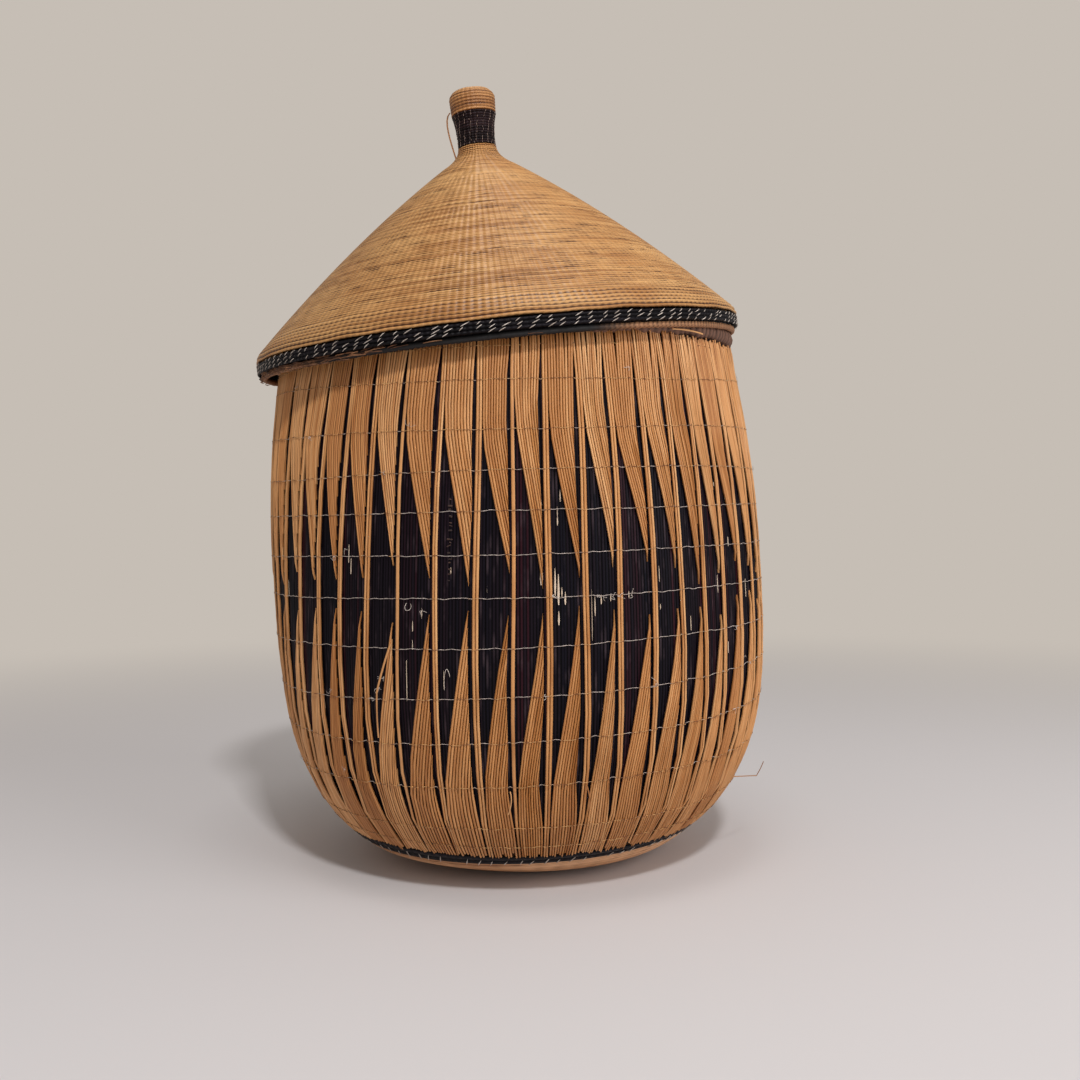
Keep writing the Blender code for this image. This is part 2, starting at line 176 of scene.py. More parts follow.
to_camera = add_node(tree, "LightPath").outputs["Is Camera Ray"]
fill = add_node(tree, "Background", {"Color": FILL, "Strength": FILL_STRENGTH})
shown = add_node(tree, "Background", {"Color": BACKGROUND, "Strength": 1})
both = add_node(tree, "MixShader", {0: to_camera, 1: fill, 2: shown})
add_node(tree, "OutputWorld", {"Surface": both})
print("Nodes of the floor:", len(floor_material.node_tree.nodes), "and the world:", len(tree.nodes))

# %% Lamps


def add_lamp(name, place, size, power):
    """A square soft lamp that faces the basket's middle."""
    lamp = link_object(name, bpy.data.lights.new(name, "AREA"))
    lamp.data.size = size
    lamp.data.energy = power
    middle = (cad_low + cad_high) / 2
    lamp.location = place
    lamp.rotation_mode = "QUATERNION"
    lamp.rotation_quaternion = (middle - lamp.location).to_track_quat("-Z", "Y")
    print(name, "gives", power, "watts")


add_lamp("front_lamp", (0.25, -1.15, 1.3), 0.14, 13)
add_lamp("ceiling_lamp", (0.0, -0.35, 1.6), 0.4, 3)
add_lamp("window_side", (1.3, -0.9, 0.7), 1.0, 9)

# %% [markdown]
# Every piece of the wall lies on one form: a bulging body of revolution, which then leans a little
# to the left and dips at the rim, as the handmade basket does. A place on it is an angle from the
# front, a height, and how deep behind the outer skin it lies.

# %% The basket's form
FOOT_RADIUS = 44 * MM
BELLY_RADIUS = 126.6 * MM
BELLY_HEIGHT = 150 * MM
RIM_RADIUS = 117 * MM
WALL_HEIGHT = 252.2 * MM
UNDER_CURVE = 3.4
BAND_FOOT = 15 * MM
BAND_TOP = 20.4 * MM
LEAN_LEFT = math.radians(3.0)
LEAN_FORWARD = math.radians(1.0)
LEAN_START = 15 * MM
RIM_DIP = math.radians(1.4)
DIP_START = WALL_HEIGHT - 82.2 * MM
LEAN = Matrix.Rotation(-LEAN_LEFT, 4, "Y") @ Matrix.Rotation(LEAN_FORWARD, 4, "X")
RIM_CENTRE = Matrix.Translation((0, 0, WALL_HEIGHT))
DIP = RIM_CENTRE @ Matrix.Rotation(RIM_DIP, 4, "X") @ RIM_CENTRE.inverted()
# Measured in the photograph: how far rows at these heights are moved back towards the level, and how
# many radians for each metre up the reeds drift round the leaning body, least on its right.
LEVEL_HEIGHTS = np.array((6, 20, 40, 60, 100, 125, 235, 252)) * MM
LEVELLED = np.array((0, 4.5, 2.5, 1, 1, 4.3, 4.3, 0)) * MM
DRIFT_FROM = 143 * MM
REED_DRIFT = math.radians(28)
REED_SPREAD = math.radians(33)
SLOPE_STEP = 0.1 * MM


def smooth_step(value, start, end):
    share = np.clip((value - start) / (end - start), 0, 1)
    return share * share * (3 - 2 * share)


def moved(points, matrix):
    matrix = np.array(matrix)
    return points @ matrix[:3, :3].T + matrix[:3, 3]


def outer_radius(height):
    rise = np.clip((height - BELLY_HEIGHT) / (WALL_HEIGHT - BELLY_HEIGHT), 0, None)
    drop = np.clip(1 - height / BELLY_HEIGHT, 0, 1)
    above = BELLY_RADIUS - (BELLY_RADIUS - RIM_RADIUS) * rise**2
    below = FOOT_RADIUS + (BELLY_RADIUS - FOOT_RADIUS) * np.sqrt(1 - drop**UNDER_CURVE)
    return np.where(height >= BELLY_HEIGHT, above, below)


def skin(height, inset):
    """Radius and height of a point that lies inset behind the outer form, square to it."""
    slope = (outer_radius(height + SLOPE_STEP) - outer_radius(height)) / SLOPE_STEP
    length = np.hypot(1, slope)
    return outer_radius(height) - inset / length, height + inset * slope / length


def round_axis(radius, azimuth, height):
    """Points at an angle counted from the front, -Y, towards +X."""
    return np.stack(np.broadcast_arrays(radius * np.sin(azimuth), -radius * np.cos(azimuth), height), -1)


def settled(points):
    """Slides points along the straight form: rows to where they lie level, reeds to where they stand."""
    azimuth = np.arctan2(points[..., 0], -points[..., 1])
    height = points[..., 2]
    level = height - np.interp(height, LEVEL_HEIGHTS, LEVELLED) * np.sin(azimuth)
    radius = np.hypot(points[..., 0], points[..., 1]) + outer_radius(level) - outer_radius(height)
    azimuth = azimuth + (level - DRIFT_FROM) * (REED_DRIFT - REED_SPREAD * np.sin(azimuth))
    return round_axis(radius, azimuth, level)


def as_woven(points):
    """Moves points of the straight basket to their place in the leaning one."""
    points = settled(points)
    height = points[..., 2]
    at_rim = points.copy()
    at_rim[..., 2] = np.maximum(height, WALL_HEIGHT)
    dip_share = smooth_step(height, DIP_START, WALL_HEIGHT)[..., None]
    dipped = points + (moved(at_rim, DIP) - at_rim) * dip_share
    lean_share = smooth_step(height, 0, LEAN_START)[..., None]
    return dipped * (1 - lean_share) + moved(dipped, LEAN) * lean_share


def on_wall(azimuth, height, inset):
    radius, level = skin(height, inset)
    return as_woven(round_axis(radius, azimuth, level))


print("The girth at the belly in mm:", round(math.tau * BELLY_RADIUS / MM))


# %% [markdown]
# A reed, a stitch and a loose fibre are all rods: round or flattish, long, and cheap in faces. A
# straight rod is made once with operators. Copies of it are then bent along their paths, each in a
# frame of its own: along the path, across it, and outward from the basket. Each corner keeps a few
# values for the finish: the rod's tone, how far along the rod it is, in millimetres, and its flank,
# which is 0 on the rod's crest and 1 at its two sides.

# %% Tools for rods
SHARP_EDGE = math.radians(80)
# Rods of different tones start this far apart, so that no two show the same stretch of a pattern.
RUN_APART = 977


def unit(vectors):
    return vectors / np.linalg.norm(vectors, axis=-1, keepdims=True)


def corners_of(mesh):
    corners = np.empty(len(mesh.vertices) * 3, np.float32)
    mesh.vertices.foreach_get("co", corners)
    return corners.reshape(-1, 3)


def straight_rod(stations, sides):
    """A rod along Z with one ring of corners at each station 0, 1, 2 and so on."""
    bm = bmesh.new()
    length = stations - 1
    bmesh.ops.create_cone(bm, cap_ends=True, segments=sides, radius1=0.5, radius2=0.5, depth=length)
    uprights = [edge for edge in bm.edges if abs(edge.verts[0].co.z - edge.verts[1].co.z) > length / 2]
    if stations > 2:
        bmesh.ops.subdivide_edges(bm, edges=uprights, cuts=stations - 2)
    bmesh.ops.translate(bm, verts=bm.verts, vec=(0, 0, length / 2))
    return as_mesh(bm, "rod")


def set_values(mesh, name, values):
    attribute = mesh.attributes.new(name, "FLOAT", "POINT")
    attribute.data.foreach_set("value", np.asarray(values, np.float32).ravel())


def lay_rods(name, middle, outward, width, thick, sides=5, tone=None):
    """Bends a rod along each row of middle. tone is a value per rod that its colour follows."""
    count, stations = middle.shape[:2]
    template = straight_rod(stations, sides)
    ring = corners_of(template)
    station = np.rint(ring[:, 2]).astype(int)
    across = unit(np.cross(outward, np.gradient(middle, axis=1)))
    points = middle[:, station]
    for offset, direction, size in ((ring[:, 0], across, width), (ring[:, 1], outward, thick)):
        size = np.broadcast_to(size, (count, stations))
        points = points + direction[:, station] * (offset * size[:, station])[..., None]
    bm = bmesh.new()
    for _ in range(count):
        bm.from_mesh(template)
    mesh = as_mesh(bm, name)
    mesh.vertices.foreach_set("co", points.astype(np.float32).ravel())
    mesh.shade_smooth()
    mesh.set_sharp_from_angle(angle=SHARP_EDGE)
    run = np.cumsum(np.linalg.norm(np.diff(middle, axis=1, prepend=middle[:, :1]), axis=-1), axis=1)
    tone = chance.random(count) if tone is None else tone
    tone = np.repeat(tone, len(ring)).reshape(count, -1)
    set_values(mesh, "tone", tone)
    set_values(mesh, "flank", np.tile(np.abs(ring[:, 0]) * 2, count))
    set_values(mesh, "run", run[:, station] / MM + tone * RUN_APART)
    return mesh


def rods_on_wall(name, azimuth, height, inset, width, thick, sides=5, tone=None):
    middle = on_wall(azimuth, height, inset)
    outward = unit(on_wall(azimuth, height, inset - MM) - middle)
    return lay_rods(name, middle, outward, width, thick, sides, tone)


def add_piece(name, mesh, material, body, replaced=()):
    mesh.materials.append(material)
    piece = link_object(name, mesh)
    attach(piece, body)
    if replaced:
        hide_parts(*replaced)
    print(name, "has", len(mesh.polygons), "faces")
    return piece


# %% [markdown]
# The natural reeds are the split, dried stems of a tall grass. They are honey coloured and a little
# waxy, and their fibres run lengthwise. No two are of the same colour, so each rod carries a tone of
# its own, and a slow change along its run. The grooves between them are darkened with painted shade,
# least a little below the belly. The scale of a noise is the number of its cells in a metre, so it is
# written as so many per millimetre.

# %% Natural reed
REED_PALE = "E2AD76"
REED_MIDDLE = "CC8F55"
REED_DARK = "A0622C"
REED_GROOVE_SHADE = "5E341A"
REED_CHANGE = 35
# Painted shade in the grooves is faintest at this height, stays faint this far from it, and is full this
# far away.
FAINT_SHADE_HEIGHT = 115 * MM
FAINT_SHADE_REACH = 35 * MM
FULL_SHADE_REACH = 110 * MM

reed_material, tree, shader = new_material("dried grass reed, split", 0.42)
tone, run, flank = [
    add_node(tree, "Attribute", attribute_name=name).outputs["Fac"] for name in ("tone", "run", "flank")
]
where = add_node(tree, "TexCoord").outputs["Object"]
slow = add_node(tree, "TexNoise", {"W": run, "Scale": 1 / REED_CHANGE, "Detail": 3}, noise_dimensions="1D")
pale = add_node(tree, "MapRange", {0: tone, 1: 0.45, 2: 1, 4: 0.85})
dark = add_node(tree, "MapRange", {0: tone, 1: 0.45, 2: 0, 4: 0.7})
streak = add_node(tree, "MapRange", {0: slow, 1: 0.45, 2: 0.75, 4: 0.6})
place = add_node(tree, "SeparateXYZ", {0: where})
# Painted shade: each reed's flanks go towards the groove colour, more above and below the belly.
over_belly = add_node(tree, "Math", {0: place.outputs["Z"], 1: FAINT_SHADE_HEIGHT}, operation="SUBTRACT")
off_belly = add_node(tree, "Math", {0: over_belly}, operation="ABSOLUTE")
groove_shade_strength = add_node(tree, "MapRange", {0: off_belly, 1: FAINT_SHADE_REACH, 2: FULL_SHADE_REACH, 3: 0.4, 4: 0.8})
painted_groove_shade = add_node(tree, "MapRange", {0: flank, 1: 0.65, 2: 0.97, 4: groove_shade_strength})
colour = REED_MIDDLE
for share, other in ((pale, REED_PALE), (dark, REED_DARK), (streak, REED_DARK), (painted_groove_shade, REED_GROOVE_SHADE)):
    colour = add_node(tree, "Mix", {0: share, 6: colour, 7: other}, data_type="RGBA")
fibres = add_node(tree, "Mapping", {"Vector": where, "Scale": (2.5 / MM, 2.5 / MM, 0.06 / MM)})
grain = add_node(tree, "TexNoise", {"Vector": fibres, "Scale": 1, "Detail": 2})
bump = add_node(tree, "Bump", {"Strength": 0.25, "Distance": 0.1 * MM, "Height": grain})
feed(shader, {"Base Color": colour, "Normal": bump})
print(reed_material.name, "has", len(tree.nodes), "nodes")

# %% [markdown]
# The pattern repeats fifty times. Each period has a straight strip of one or two reeds, a bundle that
# comes down from the rim and narrows to a point, and one that rises from the foot to meet it. Only
# the strips that the photograph shows have measured angles. The rest are spaced evenly behind.

# %% The pattern's plan
SEEN_STRIPS = (
    -60.1, -52.3, -44.5, -37.7, -30.5, -23.2, -15.1, -7.0, 0.1,
    6.9, 14.2, 21.2, 28.8, 35.8, 42.5, 49.1, 56.5, 64.4,
)
SEEN_STRIP_WIDTHS = (
    2.9, 2.1, 2.6, 2.7, 2.7, 1.8, 2.4, 2.9, 1.7,
    2.8, 2.8, 2.7, 2.8, 2.6, 2.6, 2.5, 2.6, 2.8,
)
HIDDEN_STRIP_WIDTHS = (1.8, 3.0)
PERIODS = 50
SLIT_HEIGHTS = np.array((34, 58, 90, 170, 200, 228, 243, 252)) * MM
SLIT_WIDTHS = np.array((0, 2.3, 1.4, 1.2, 1.9, 2.1, 0.8, 0.2)) * MM
SLIT_KNOTS = 11
SLIT_UNEVEN = (0.6, 1.4)
# The slits are wider at the sides, and at the right they close lower than the plan says.
SIDE_ANGLES = (-60, -25, 25, 60)
SIDE_FACTORS = (1.7, 1, 1, 1.6)
DROP_ANGLES = (-20, 15)
SLIT_DROP = 12 * MM
DROP_UNEVEN = (0.2, 1)
TONE_APART = 0.2
REED_THICK = 1.2 * MM
POINT_HEIGHT = 140 * MM
POINT_GAP = 14 * MM
UPPER_SPLIT = WALL_HEIGHT - 39.2 * MM
LOWER_MERGE = 52 * MM
SWAY = 0.35 * MM
SWAY_LENGTH = 23 * MM
SWAY_PHASE = 1.7

hidden_strips = PERIODS - len(SEEN_STRIPS)
hidden = np.linspace(SEEN_STRIPS[-1], 360 + SEEN_STRIPS[0], hidden_strips + 2)[1:-1]
strips = np.radians(np.concatenate([SEEN_STRIPS, hidden]))
next_strips = np.append(strips[1:], strips[0] + math.tau)
hidden_widths = chance.uniform(*HIDDEN_STRIP_WIDTHS, hidden_strips)
strip_widths = np.concatenate([SEEN_STRIP_WIDTHS, hidden_widths]) * MM
slit_knots = np.linspace(0, WALL_HEIGHT, SLIT_KNOTS)
turned = (np.degrees(strips) + 180) % 360 - 180
side_factors = np.interp(turned, SIDE_ANGLES, SIDE_FACTORS)[:, None]
slit_factors = chance.uniform(*SLIT_UNEVEN, (PERIODS, SLIT_KNOTS)) * side_factors
slit_drops = chance.uniform(*DROP_UNEVEN, PERIODS) * np.interp(turned, DROP_ANGLES, (0, SLIT_DROP))
period_tone = chance.normal(0, TONE_APART, PERIODS)
print(PERIODS, "strips, a mean of", round(np.mean(strip_widths) / MM, 1), "mm wide")


def slit_width(period, height):
    """Width of the dark gap at the right of a bundle, which closes at the foot."""
    factor = np.interp(height, slit_knots, slit_factors[period])
    dropped = height + slit_drops[period] * smooth_step(height, POINT_HEIGHT, SLIT_HEIGHTS[-2])
    return np.interp(dropped, SLIT_HEIGHTS, SLIT_WIDTHS) * factor


def sway(period, height):
    """How far to the right a strip wanders on its way up."""
    return SWAY * np.sin(height / SWAY_LENGTH + period * SWAY_PHASE)


def strip_middle(period, height):
    return strips[period] + sway(period, height) / outer_radius(height)


def bundle_sides(period, height):
    """Azimuths of a bundle's left and right side where it is at its full width."""
    after = (period + 1) % PERIODS
    radius = outer_radius(height)
    left = strip_middle(period, height) + strip_widths[period] / 2 / radius
    gap = strip_widths[after] / 2 + slit_width(period, height)
    return left, next_strips[period] + (sway(after, height) - gap) / radius


# %% [markdown]
# Stations along a reed are closer where the wall curves most. They are therefore spaced evenly by
# length, measured along the form, rather than by height.

# %% Heights spaced by length
FORM_STEPS = 400


def lengths_along(radii, heights):
    """How far along a profile each of its points lies."""
    return np.concatenate([[0], np.cumsum(np.hypot(np.diff(radii), np.diff(heights)))])


form_heights = np.linspace(0, WALL_HEIGHT, FORM_STEPS)
form_lengths = lengths_along(outer_radius(form_heights), form_heights)


def spaced_heights(low, high, count):
    first, last = np.interp([low, high], form_heights, form_lengths)
    return np.interp(np.linspace(first, last, count), form_lengths, form_heights)


print("Along the wall from foot to rim:", round(form_lengths[-1] / MM), "mm")

# %% [markdown]
# In a bundle the reeds lie side by side. Where it narrows, each in turn reaches the straight right
# side and slips under its neighbour there. So that side cuts it to a slanted end. A reed nearer the
# left side gets there later, and the first one forms the point.

# %% Natural reeds
ONE_REED_WIDTH = 1.9 * MM
BUNDLE_REEDS = 9
STRIP_STATIONS = 13
# Stations of a bundle's reed: along its straight part, on to where it meets the side, and at its end.
BUNDLE_STATIONS = (2, 6, 3)
FOOT_END = BAND_TOP + 0.4 * MM
UNEVEN_TOP = 0.4 * MM
UNEVEN_FOOT = 0.8 * MM
# How much reeds differ in depth, width and tone, in a bundle and in a strip.
BUNDLE_DEPTHS = 0.09 * MM
STRIP_DEPTHS = 0.1 * MM
BUNDLE_WIDTHS = (0.94, 1.04)
STRIP_WIDTHS = (0.9, 1.0)
NARROWEST = 0.7
BUNDLE_TONE = (0.5, 0.17)
STRIP_TONE = (0.6, 0.2)
# How much of its place each reed fills, how deep its end is tucked in, and how much reeds converge.
# The last keeps a share from being nothing where it divides.
REED_SHARE = 0.94
TUCK_DEPTH = 0.25 * MM
TIP_DEPTH = 0.9 * MM
CONVERGE = 0.8
NEVER_ZERO = 0.001
# The share of the narrowing part in which a reed bends, the least share at which that is worked out,
# and how far a reed's end stays short of the side.
BEND_EASE = 0.06
LEAST_BEND = 0.02
SHORT_OF_SIDE = 0.01
# How far the heights spread at which bundles begin to narrow, and at which they end.
SPLIT_SPREAD = 4 * MM
POINT_SPREAD = 2.5 * MM
# At the right the reed tops end unevenly. By angle, in degrees: how far they pass the wall at most,
# and what share of the greatest shortening a reed may get.
FRAYED_ANGLES = (-5, 4, 11, 20, 28, 31, 37, 40, 52, 58, 67, 80, 100)
FRAYED_REACH = np.array((0, 0.6, 1.6, 2.8, 4.2, 2.8, 1.4, 0.6, 0.2, -0.4, -0.8, -0.2, 0.6)) * MM
SHORT_ANGLES = (5, 35, 70, 100)
SHORT_SHARES = (0.2, 1, 1, 0.3)
MOST_SHORT = 1.6 * MM
# How far a top splays out over the rim coil and to a side, from where, and the steps down to the bend.
SPLAY = 1.3 * MM
STRAY = 0.3 * MM
SPLAY_START = WALL_HEIGHT - 14 * MM
SPLAY_END = WALL_HEIGHT + 2 * MM
TOP_STEPS = np.array((0, 3, 8)) * MM
TOP_LENGTH = 16 * MM

# %% Loose tops


def loose_top(period):
    """How far a reed's top passes the wall, and how far it splays outward and sideways there."""
    turn = math.degrees(strips[period])
    if turn > FRAYED_ANGLES[-1] or turn < FRAYED_ANGLES[0]:
        return 0, 0, 0
    shortened = np.interp(turn, SHORT_ANGLES, SHORT_SHARES) * chance.uniform(0, MOST_SHORT)
    reach = np.interp(turn, FRAYED_ANGLES, FRAYED_REACH) - shortened
    return reach, SPLAY * chance.uniform(0, 1), chance.normal(0, STRAY)


def near_top(height):
    return smooth_step(height, SPLAY_START, SPLAY_END)


# %% Reeds of a bundle


def bundle_reeds(period, start, bend, tip):
    """Reeds of one bundle. They run from start past bend, where it begins to narrow, to its tip."""
    # The sides of the reeds, as shares of the bundle's width left to its right side, and where each ends.
    sides = np.linspace(1, 0, BUNDLE_REEDS + 1)
    ends = sides**CONVERGE
    upper = start > tip
    upward = 1 if upper else -1
    straight, bent, slanted = BUNDLE_STATIONS
    for number in range(BUNDLE_REEDS):
        eased = [end - BEND_EASE**2 / 4 / max(end, LEAST_BEND) for end in ends[number : number + 2]]
        before = bend - (tip - bend) * 2 * BEND_EASE
        reached = bend + (tip - bend) * max(eased[1], 0)
        gone = bend + (tip - bend) * (eased[0] - SHORT_OF_SIDE)
        end_height = start + chance.normal(0, UNEVEN_TOP if upper else UNEVEN_FOOT)
        past, splay, stray = loose_top(period) if upper else (0, 0, 0)
        height = np.concatenate(
            [
                end_height + past - upward * TOP_STEPS,
                spaced_heights(end_height - upward * TOP_LENGTH, before, straight)[:-1],
                spaced_heights(before, reached, bent)[:-1],
                spaced_heights(reached, gone, slanted),
            ]
        )
        passed = (height - bend) / (tip - bend)
        passed = (passed + np.hypot(passed, BEND_EASE)) / 2
        kept = [
            np.clip(side * (1 - passed / max(end, NEVER_ZERO)), 0, None)
            for side, end in zip(sides[number : number + 2], ends[number : number + 2])
        ]
        left, right = bundle_sides(period, height)
        share = (kept[0] - kept[1]) * REED_SHARE
        width = (right - left) * outer_radius(height) * share * chance.uniform(*BUNDLE_WIDTHS)
        tuck = TIP_DEPTH if number == 0 else TUCK_DEPTH
        sunk = smooth_step(passed, ends[number + 1], ends[number]) * tuck
        inset = REED_THICK / 2 + chance.normal(0, BUNDLE_DEPTHS) + sunk - splay * near_top(height)
        aside = stray * near_top(height) / outer_radius(height)
        azimuth = right - (right - left) * (kept[0] + kept[1]) / 2 + aside
        tone, spread = BUNDLE_TONE
        yield azimuth, height, inset, width, tone + period_tone[period] + chance.normal(0, spread)


# %% Reeds of a strip


def strip_reeds(period):
    places = (0,) if strip_widths[period] < ONE_REED_WIDTH else (-1, 1)
    for place in places:
        past, splay, stray = loose_top(period)
        foot = FOOT_END + chance.normal(0, UNEVEN_FOOT)
        low = spaced_heights(foot, WALL_HEIGHT - TOP_LENGTH, STRIP_STATIONS - len(TOP_STEPS))
        height = np.append(low, WALL_HEIGHT + past - TOP_STEPS[::-1])
        radius = outer_radius(height)
        width = strip_widths[period] / len(places) * np.clip(radius / BELLY_RADIUS, NARROWEST, 1)
        azimuth = strip_middle(period, height) + (place * width / 2 + stray * near_top(height)) / radius
        inset = REED_THICK / 2 + chance.normal(0, STRIP_DEPTHS) - splay * near_top(height)
        width = width * chance.uniform(*STRIP_WIDTHS)
        tone, spread = STRIP_TONE
        yield azimuth, height, inset, width, tone + chance.normal(0, spread)


# %% Both layers of natural reeds


def add_reeds(name, reeds, replaced=()):
    azimuth, height, inset, width, tone = [np.array(values) for values in zip(*reeds)]
    mesh = rods_on_wall(name, azimuth, height, inset, width, REED_THICK, tone=tone)
    add_piece(name, mesh, reed_material, "basket", replaced)


reeds = [reed for period in range(PERIODS) for reed in strip_reeds(period)]
add_reeds("reed_strips", reeds, ["natural_reeds"])
reeds = []
for period in range(PERIODS):
    for start, bend, side in ((WALL_HEIGHT, UPPER_SPLIT, 1), (FOOT_END, LOWER_MERGE, -1)):
        bend = bend + chance.normal(0, SPLIT_SPREAD)
        tip = POINT_HEIGHT + side * POINT_GAP / 2 + chance.normal(0, POINT_SPREAD)
        reeds.extend(bundle_reeds(period, start, bend, tip))
add_reeds("reed_bundles", reeds)

# %% [markdown]
# Behind them stands a full layer of the same reeds, dyed black. The dye is not even: it runs from
# blue black to purple and red brown. Each reed's flanks are painted near-black as shade, which leaves
# a thin painted line of light on its crest. Where the skin has split off, the pale pith shows in
# slivers.

# %% Dyed reed
DYE_MIDDLE = "19121A"
DYE_RED = "3E161E"
DYE_COLD = "0B0D17"
DYE_FADED = "5A4A50"
DYE_FLANK_SHADE = "020103"
DYE_CHANGE = 25

dyed_material, tree, shader = new_material("grass reed dyed black", 0.4, 0.08)
tone, run, flank = [
    add_node(tree, "Attribute", attribute_name=name).outputs["Fac"] for name in ("tone", "run", "flank")
]
slow = add_node(tree, "TexNoise", {"W": run, "Scale": 1 / DYE_CHANGE, "Detail": 4}, noise_dimensions="1D")
red = add_node(tree, "MapRange", {0: tone, 1: 0.6, 2: 1, 4: 0.9})
cold = add_node(tree, "MapRange", {0: tone, 1: 0.5, 2: 0, 4: 0.9})
faded = add_node(tree, "MapRange", {0: slow, 1: 0.55, 2: 0.8, 4: 0.45})
# Painted shade on each reed's flanks, and so a painted highlight along its crest.
painted_flank_shade = add_node(tree, "MapRange", {0: flank, 1: 0.25, 2: 0.7})
colour = DYE_MIDDLE
for share, other in ((red, DYE_RED), (cold, DYE_COLD), (faded, DYE_FADED), (painted_flank_shade, DYE_FLANK_SHADE)):
    colour = add_node(tree, "Mix", {0: share, 6: colour, 7: other}, data_type="RGBA")
feed(shader, {"Base Color": colour})
print(dyed_material.name, "has", len(tree.nodes), "nodes")

pith_material, tree, shader = new_material("bare pith of a split reed", 0.75)
feed(shader, {"Base Color": "D9C3AC"})

# %% Dyed reeds
DYED_COUNT = 11 * PERIODS
DYED_INSET = 1.4 * MM
DYED_THICK = 1.0 * MM
DYED_STATIONS = 10
# How much wider than its place a reed is, and how many neighbours come from one batch of dye.
DYED_OVERLAP = 1.25
BATCH = 5
# Their tops end inside the rim coil, so that no light comes through below it.
DYED_RISE = 1.6 * MM
DYED_STRAY = 0.1 * MM
DYED_DEPTHS = 0.06 * MM

turn = (np.arange(DYED_COUNT) + 0.5) / DYED_COUNT * math.tau
turn = turn + chance.normal(0, DYED_STRAY, DYED_COUNT) / BELLY_RADIUS
height = np.tile(spaced_heights(FOOT_END, WALL_HEIGHT, DYED_STATIONS), (DYED_COUNT, 1))
height[:, -1] += DYED_RISE
width = math.tau * outer_radius(height) / DYED_COUNT * DYED_OVERLAP
inset = DYED_INSET + DYED_THICK / 2 + chance.normal(0, DYED_DEPTHS, (DYED_COUNT, 1))
batch_tone = np.repeat(chance.random(DYED_COUNT // BATCH), BATCH)
dyed_tone = (batch_tone + chance.random(DYED_COUNT)) / 2
turn = np.tile(turn[:, None], DYED_STATIONS)
dyed_mesh = rods_on_wall("dyed_reed_layer", turn, height, inset, width, DYED_THICK, tone=dyed_tone)
add_piece("dyed_reed_layer", dyed_mesh, dyed_material, "basket", ["dyed_reeds"])

# %% Slivers of bare pith
# Seen slivers: angle in degrees, lowest and highest millimetre, and width in millimetres.
SEEN_SLIVERS = (
    (8.4, 139.5, 151, 0.9), (9.0, 135.5, 148.5, 1.0), (7.8, 134.5, 142, 0.8), (10.3, 135.5, 141, 0.8),
    (9.0, 127, 133, 0.8), (9.6, 139, 143, 0.6), (5.8, 144, 152.5, 1.4), (5.6, 176, 182, 0.8),
    (8.6, 169, 173, 0.6), (9.3, 179, 184, 0.6), (15.0, 145.5, 157, 0.35), (15.1, 123, 141.5, 0.4),
    (15.7, 119.5, 136.5, 0.4), (17.4, 135, 139, 0.7), (19.6, 136, 139, 0.6), (23.4, 137, 140, 0.6),
    (-21.4, 96.5, 113.5, 0.4), (-20.2, 125.5, 130, 0.5), (-20.2, 118, 122, 0.45), (-13.1, 101.5, 109, 0.4),
    (-17.8, 131, 135.5, 0.5), (-4.8, 141.5, 144.5, 0.5), (-35.6, 155, 163, 0.5), (-35.0, 150, 157, 0.5),
    (-31.0, 118, 133, 0.45), (-30.2, 108, 114, 0.4), (30.4, 143, 150, 0.5), (-12.0, 150, 152.5, 0.6),
    (38.0, 120, 127, 0.5), (47.5, 136, 144, 0.5),
)
# The loose ones anywhere else: how many, and the least and greatest height, length and width.
LOOSE_SLIVERS = 40
LOOSE_HEIGHT = (60, 190)
LOOSE_LENGTH = (1.5, 9)
LOOSE_WIDTH = (0.25, 0.6)
SLIVER_SHAPE = np.array((0.5, 1, 0.8, 0.3))
SLIVER_INSET = DYED_INSET + 0.12 * MM
SLIVER_THICK = 0.5 * MM

low = chance.uniform(*LOOSE_HEIGHT, LOOSE_SLIVERS)
high = low + chance.uniform(*LOOSE_LENGTH, LOOSE_SLIVERS)
loose = [chance.uniform(-180, 180, LOOSE_SLIVERS), low, high, chance.uniform(*LOOSE_WIDTH, LOOSE_SLIVERS)]
slivers = np.concatenate([SEEN_SLIVERS, np.stack(loose, -1)])
turn = (np.floor(np.radians(slivers[:, 0]) / math.tau * DYED_COUNT) + 0.5) / DYED_COUNT * math.tau
turn = np.tile(turn[:, None], len(SLIVER_SHAPE))
height = np.linspace(slivers[:, 1], slivers[:, 2], len(SLIVER_SHAPE), axis=1) * MM
width = slivers[:, 3:] * SLIVER_SHAPE * MM
sliver_mesh = rods_on_wall("bare_slivers", turn, height, SLIVER_INSET, width, SLIVER_THICK)
add_piece("bare_slivers", sliver_mesh, pith_material, "basket")

# %% [markdown]
# Rings are the next tool. A thread, a rim coil and a lid's edge are all a round section led once
# round the basket. Spinning a section does this too, but takes long for a thousand steps. A flat
# grid is quicker: its columns are the steps, its rows the sides of the section. It is rolled up by
# moving its corners, and the borders that then meet are merged.

# %% Tools for rings
MERGE_DISTANCE = 0.004 * MM


def flat_grid(name, columns, rows):
    """A flat grid with corners at whole numbers. Its UV map keeps these numbers when it is rolled up."""
    bm = bmesh.new()
    bmesh.ops.create_grid(bm, x_segments=columns, y_segments=rows, size=0.5)
    bmesh.ops.translate(bm, verts=bm.verts, vec=(0.5, 0.5, 0))
    bmesh.ops.scale(bm, verts=bm.verts, vec=(columns, rows, 1))
    mesh = as_mesh(bm, name)
    corner_of_loop = np.empty(len(mesh.loops), np.int32)
    mesh.loops.foreach_get("vertex_index", corner_of_loop)
    numbers = np.rint(corners_of(mesh)[:, :2])
    mesh.uv_layers.new(name="coil").data.foreach_set("uv", numbers[corner_of_loop].ravel())
    return mesh, numbers


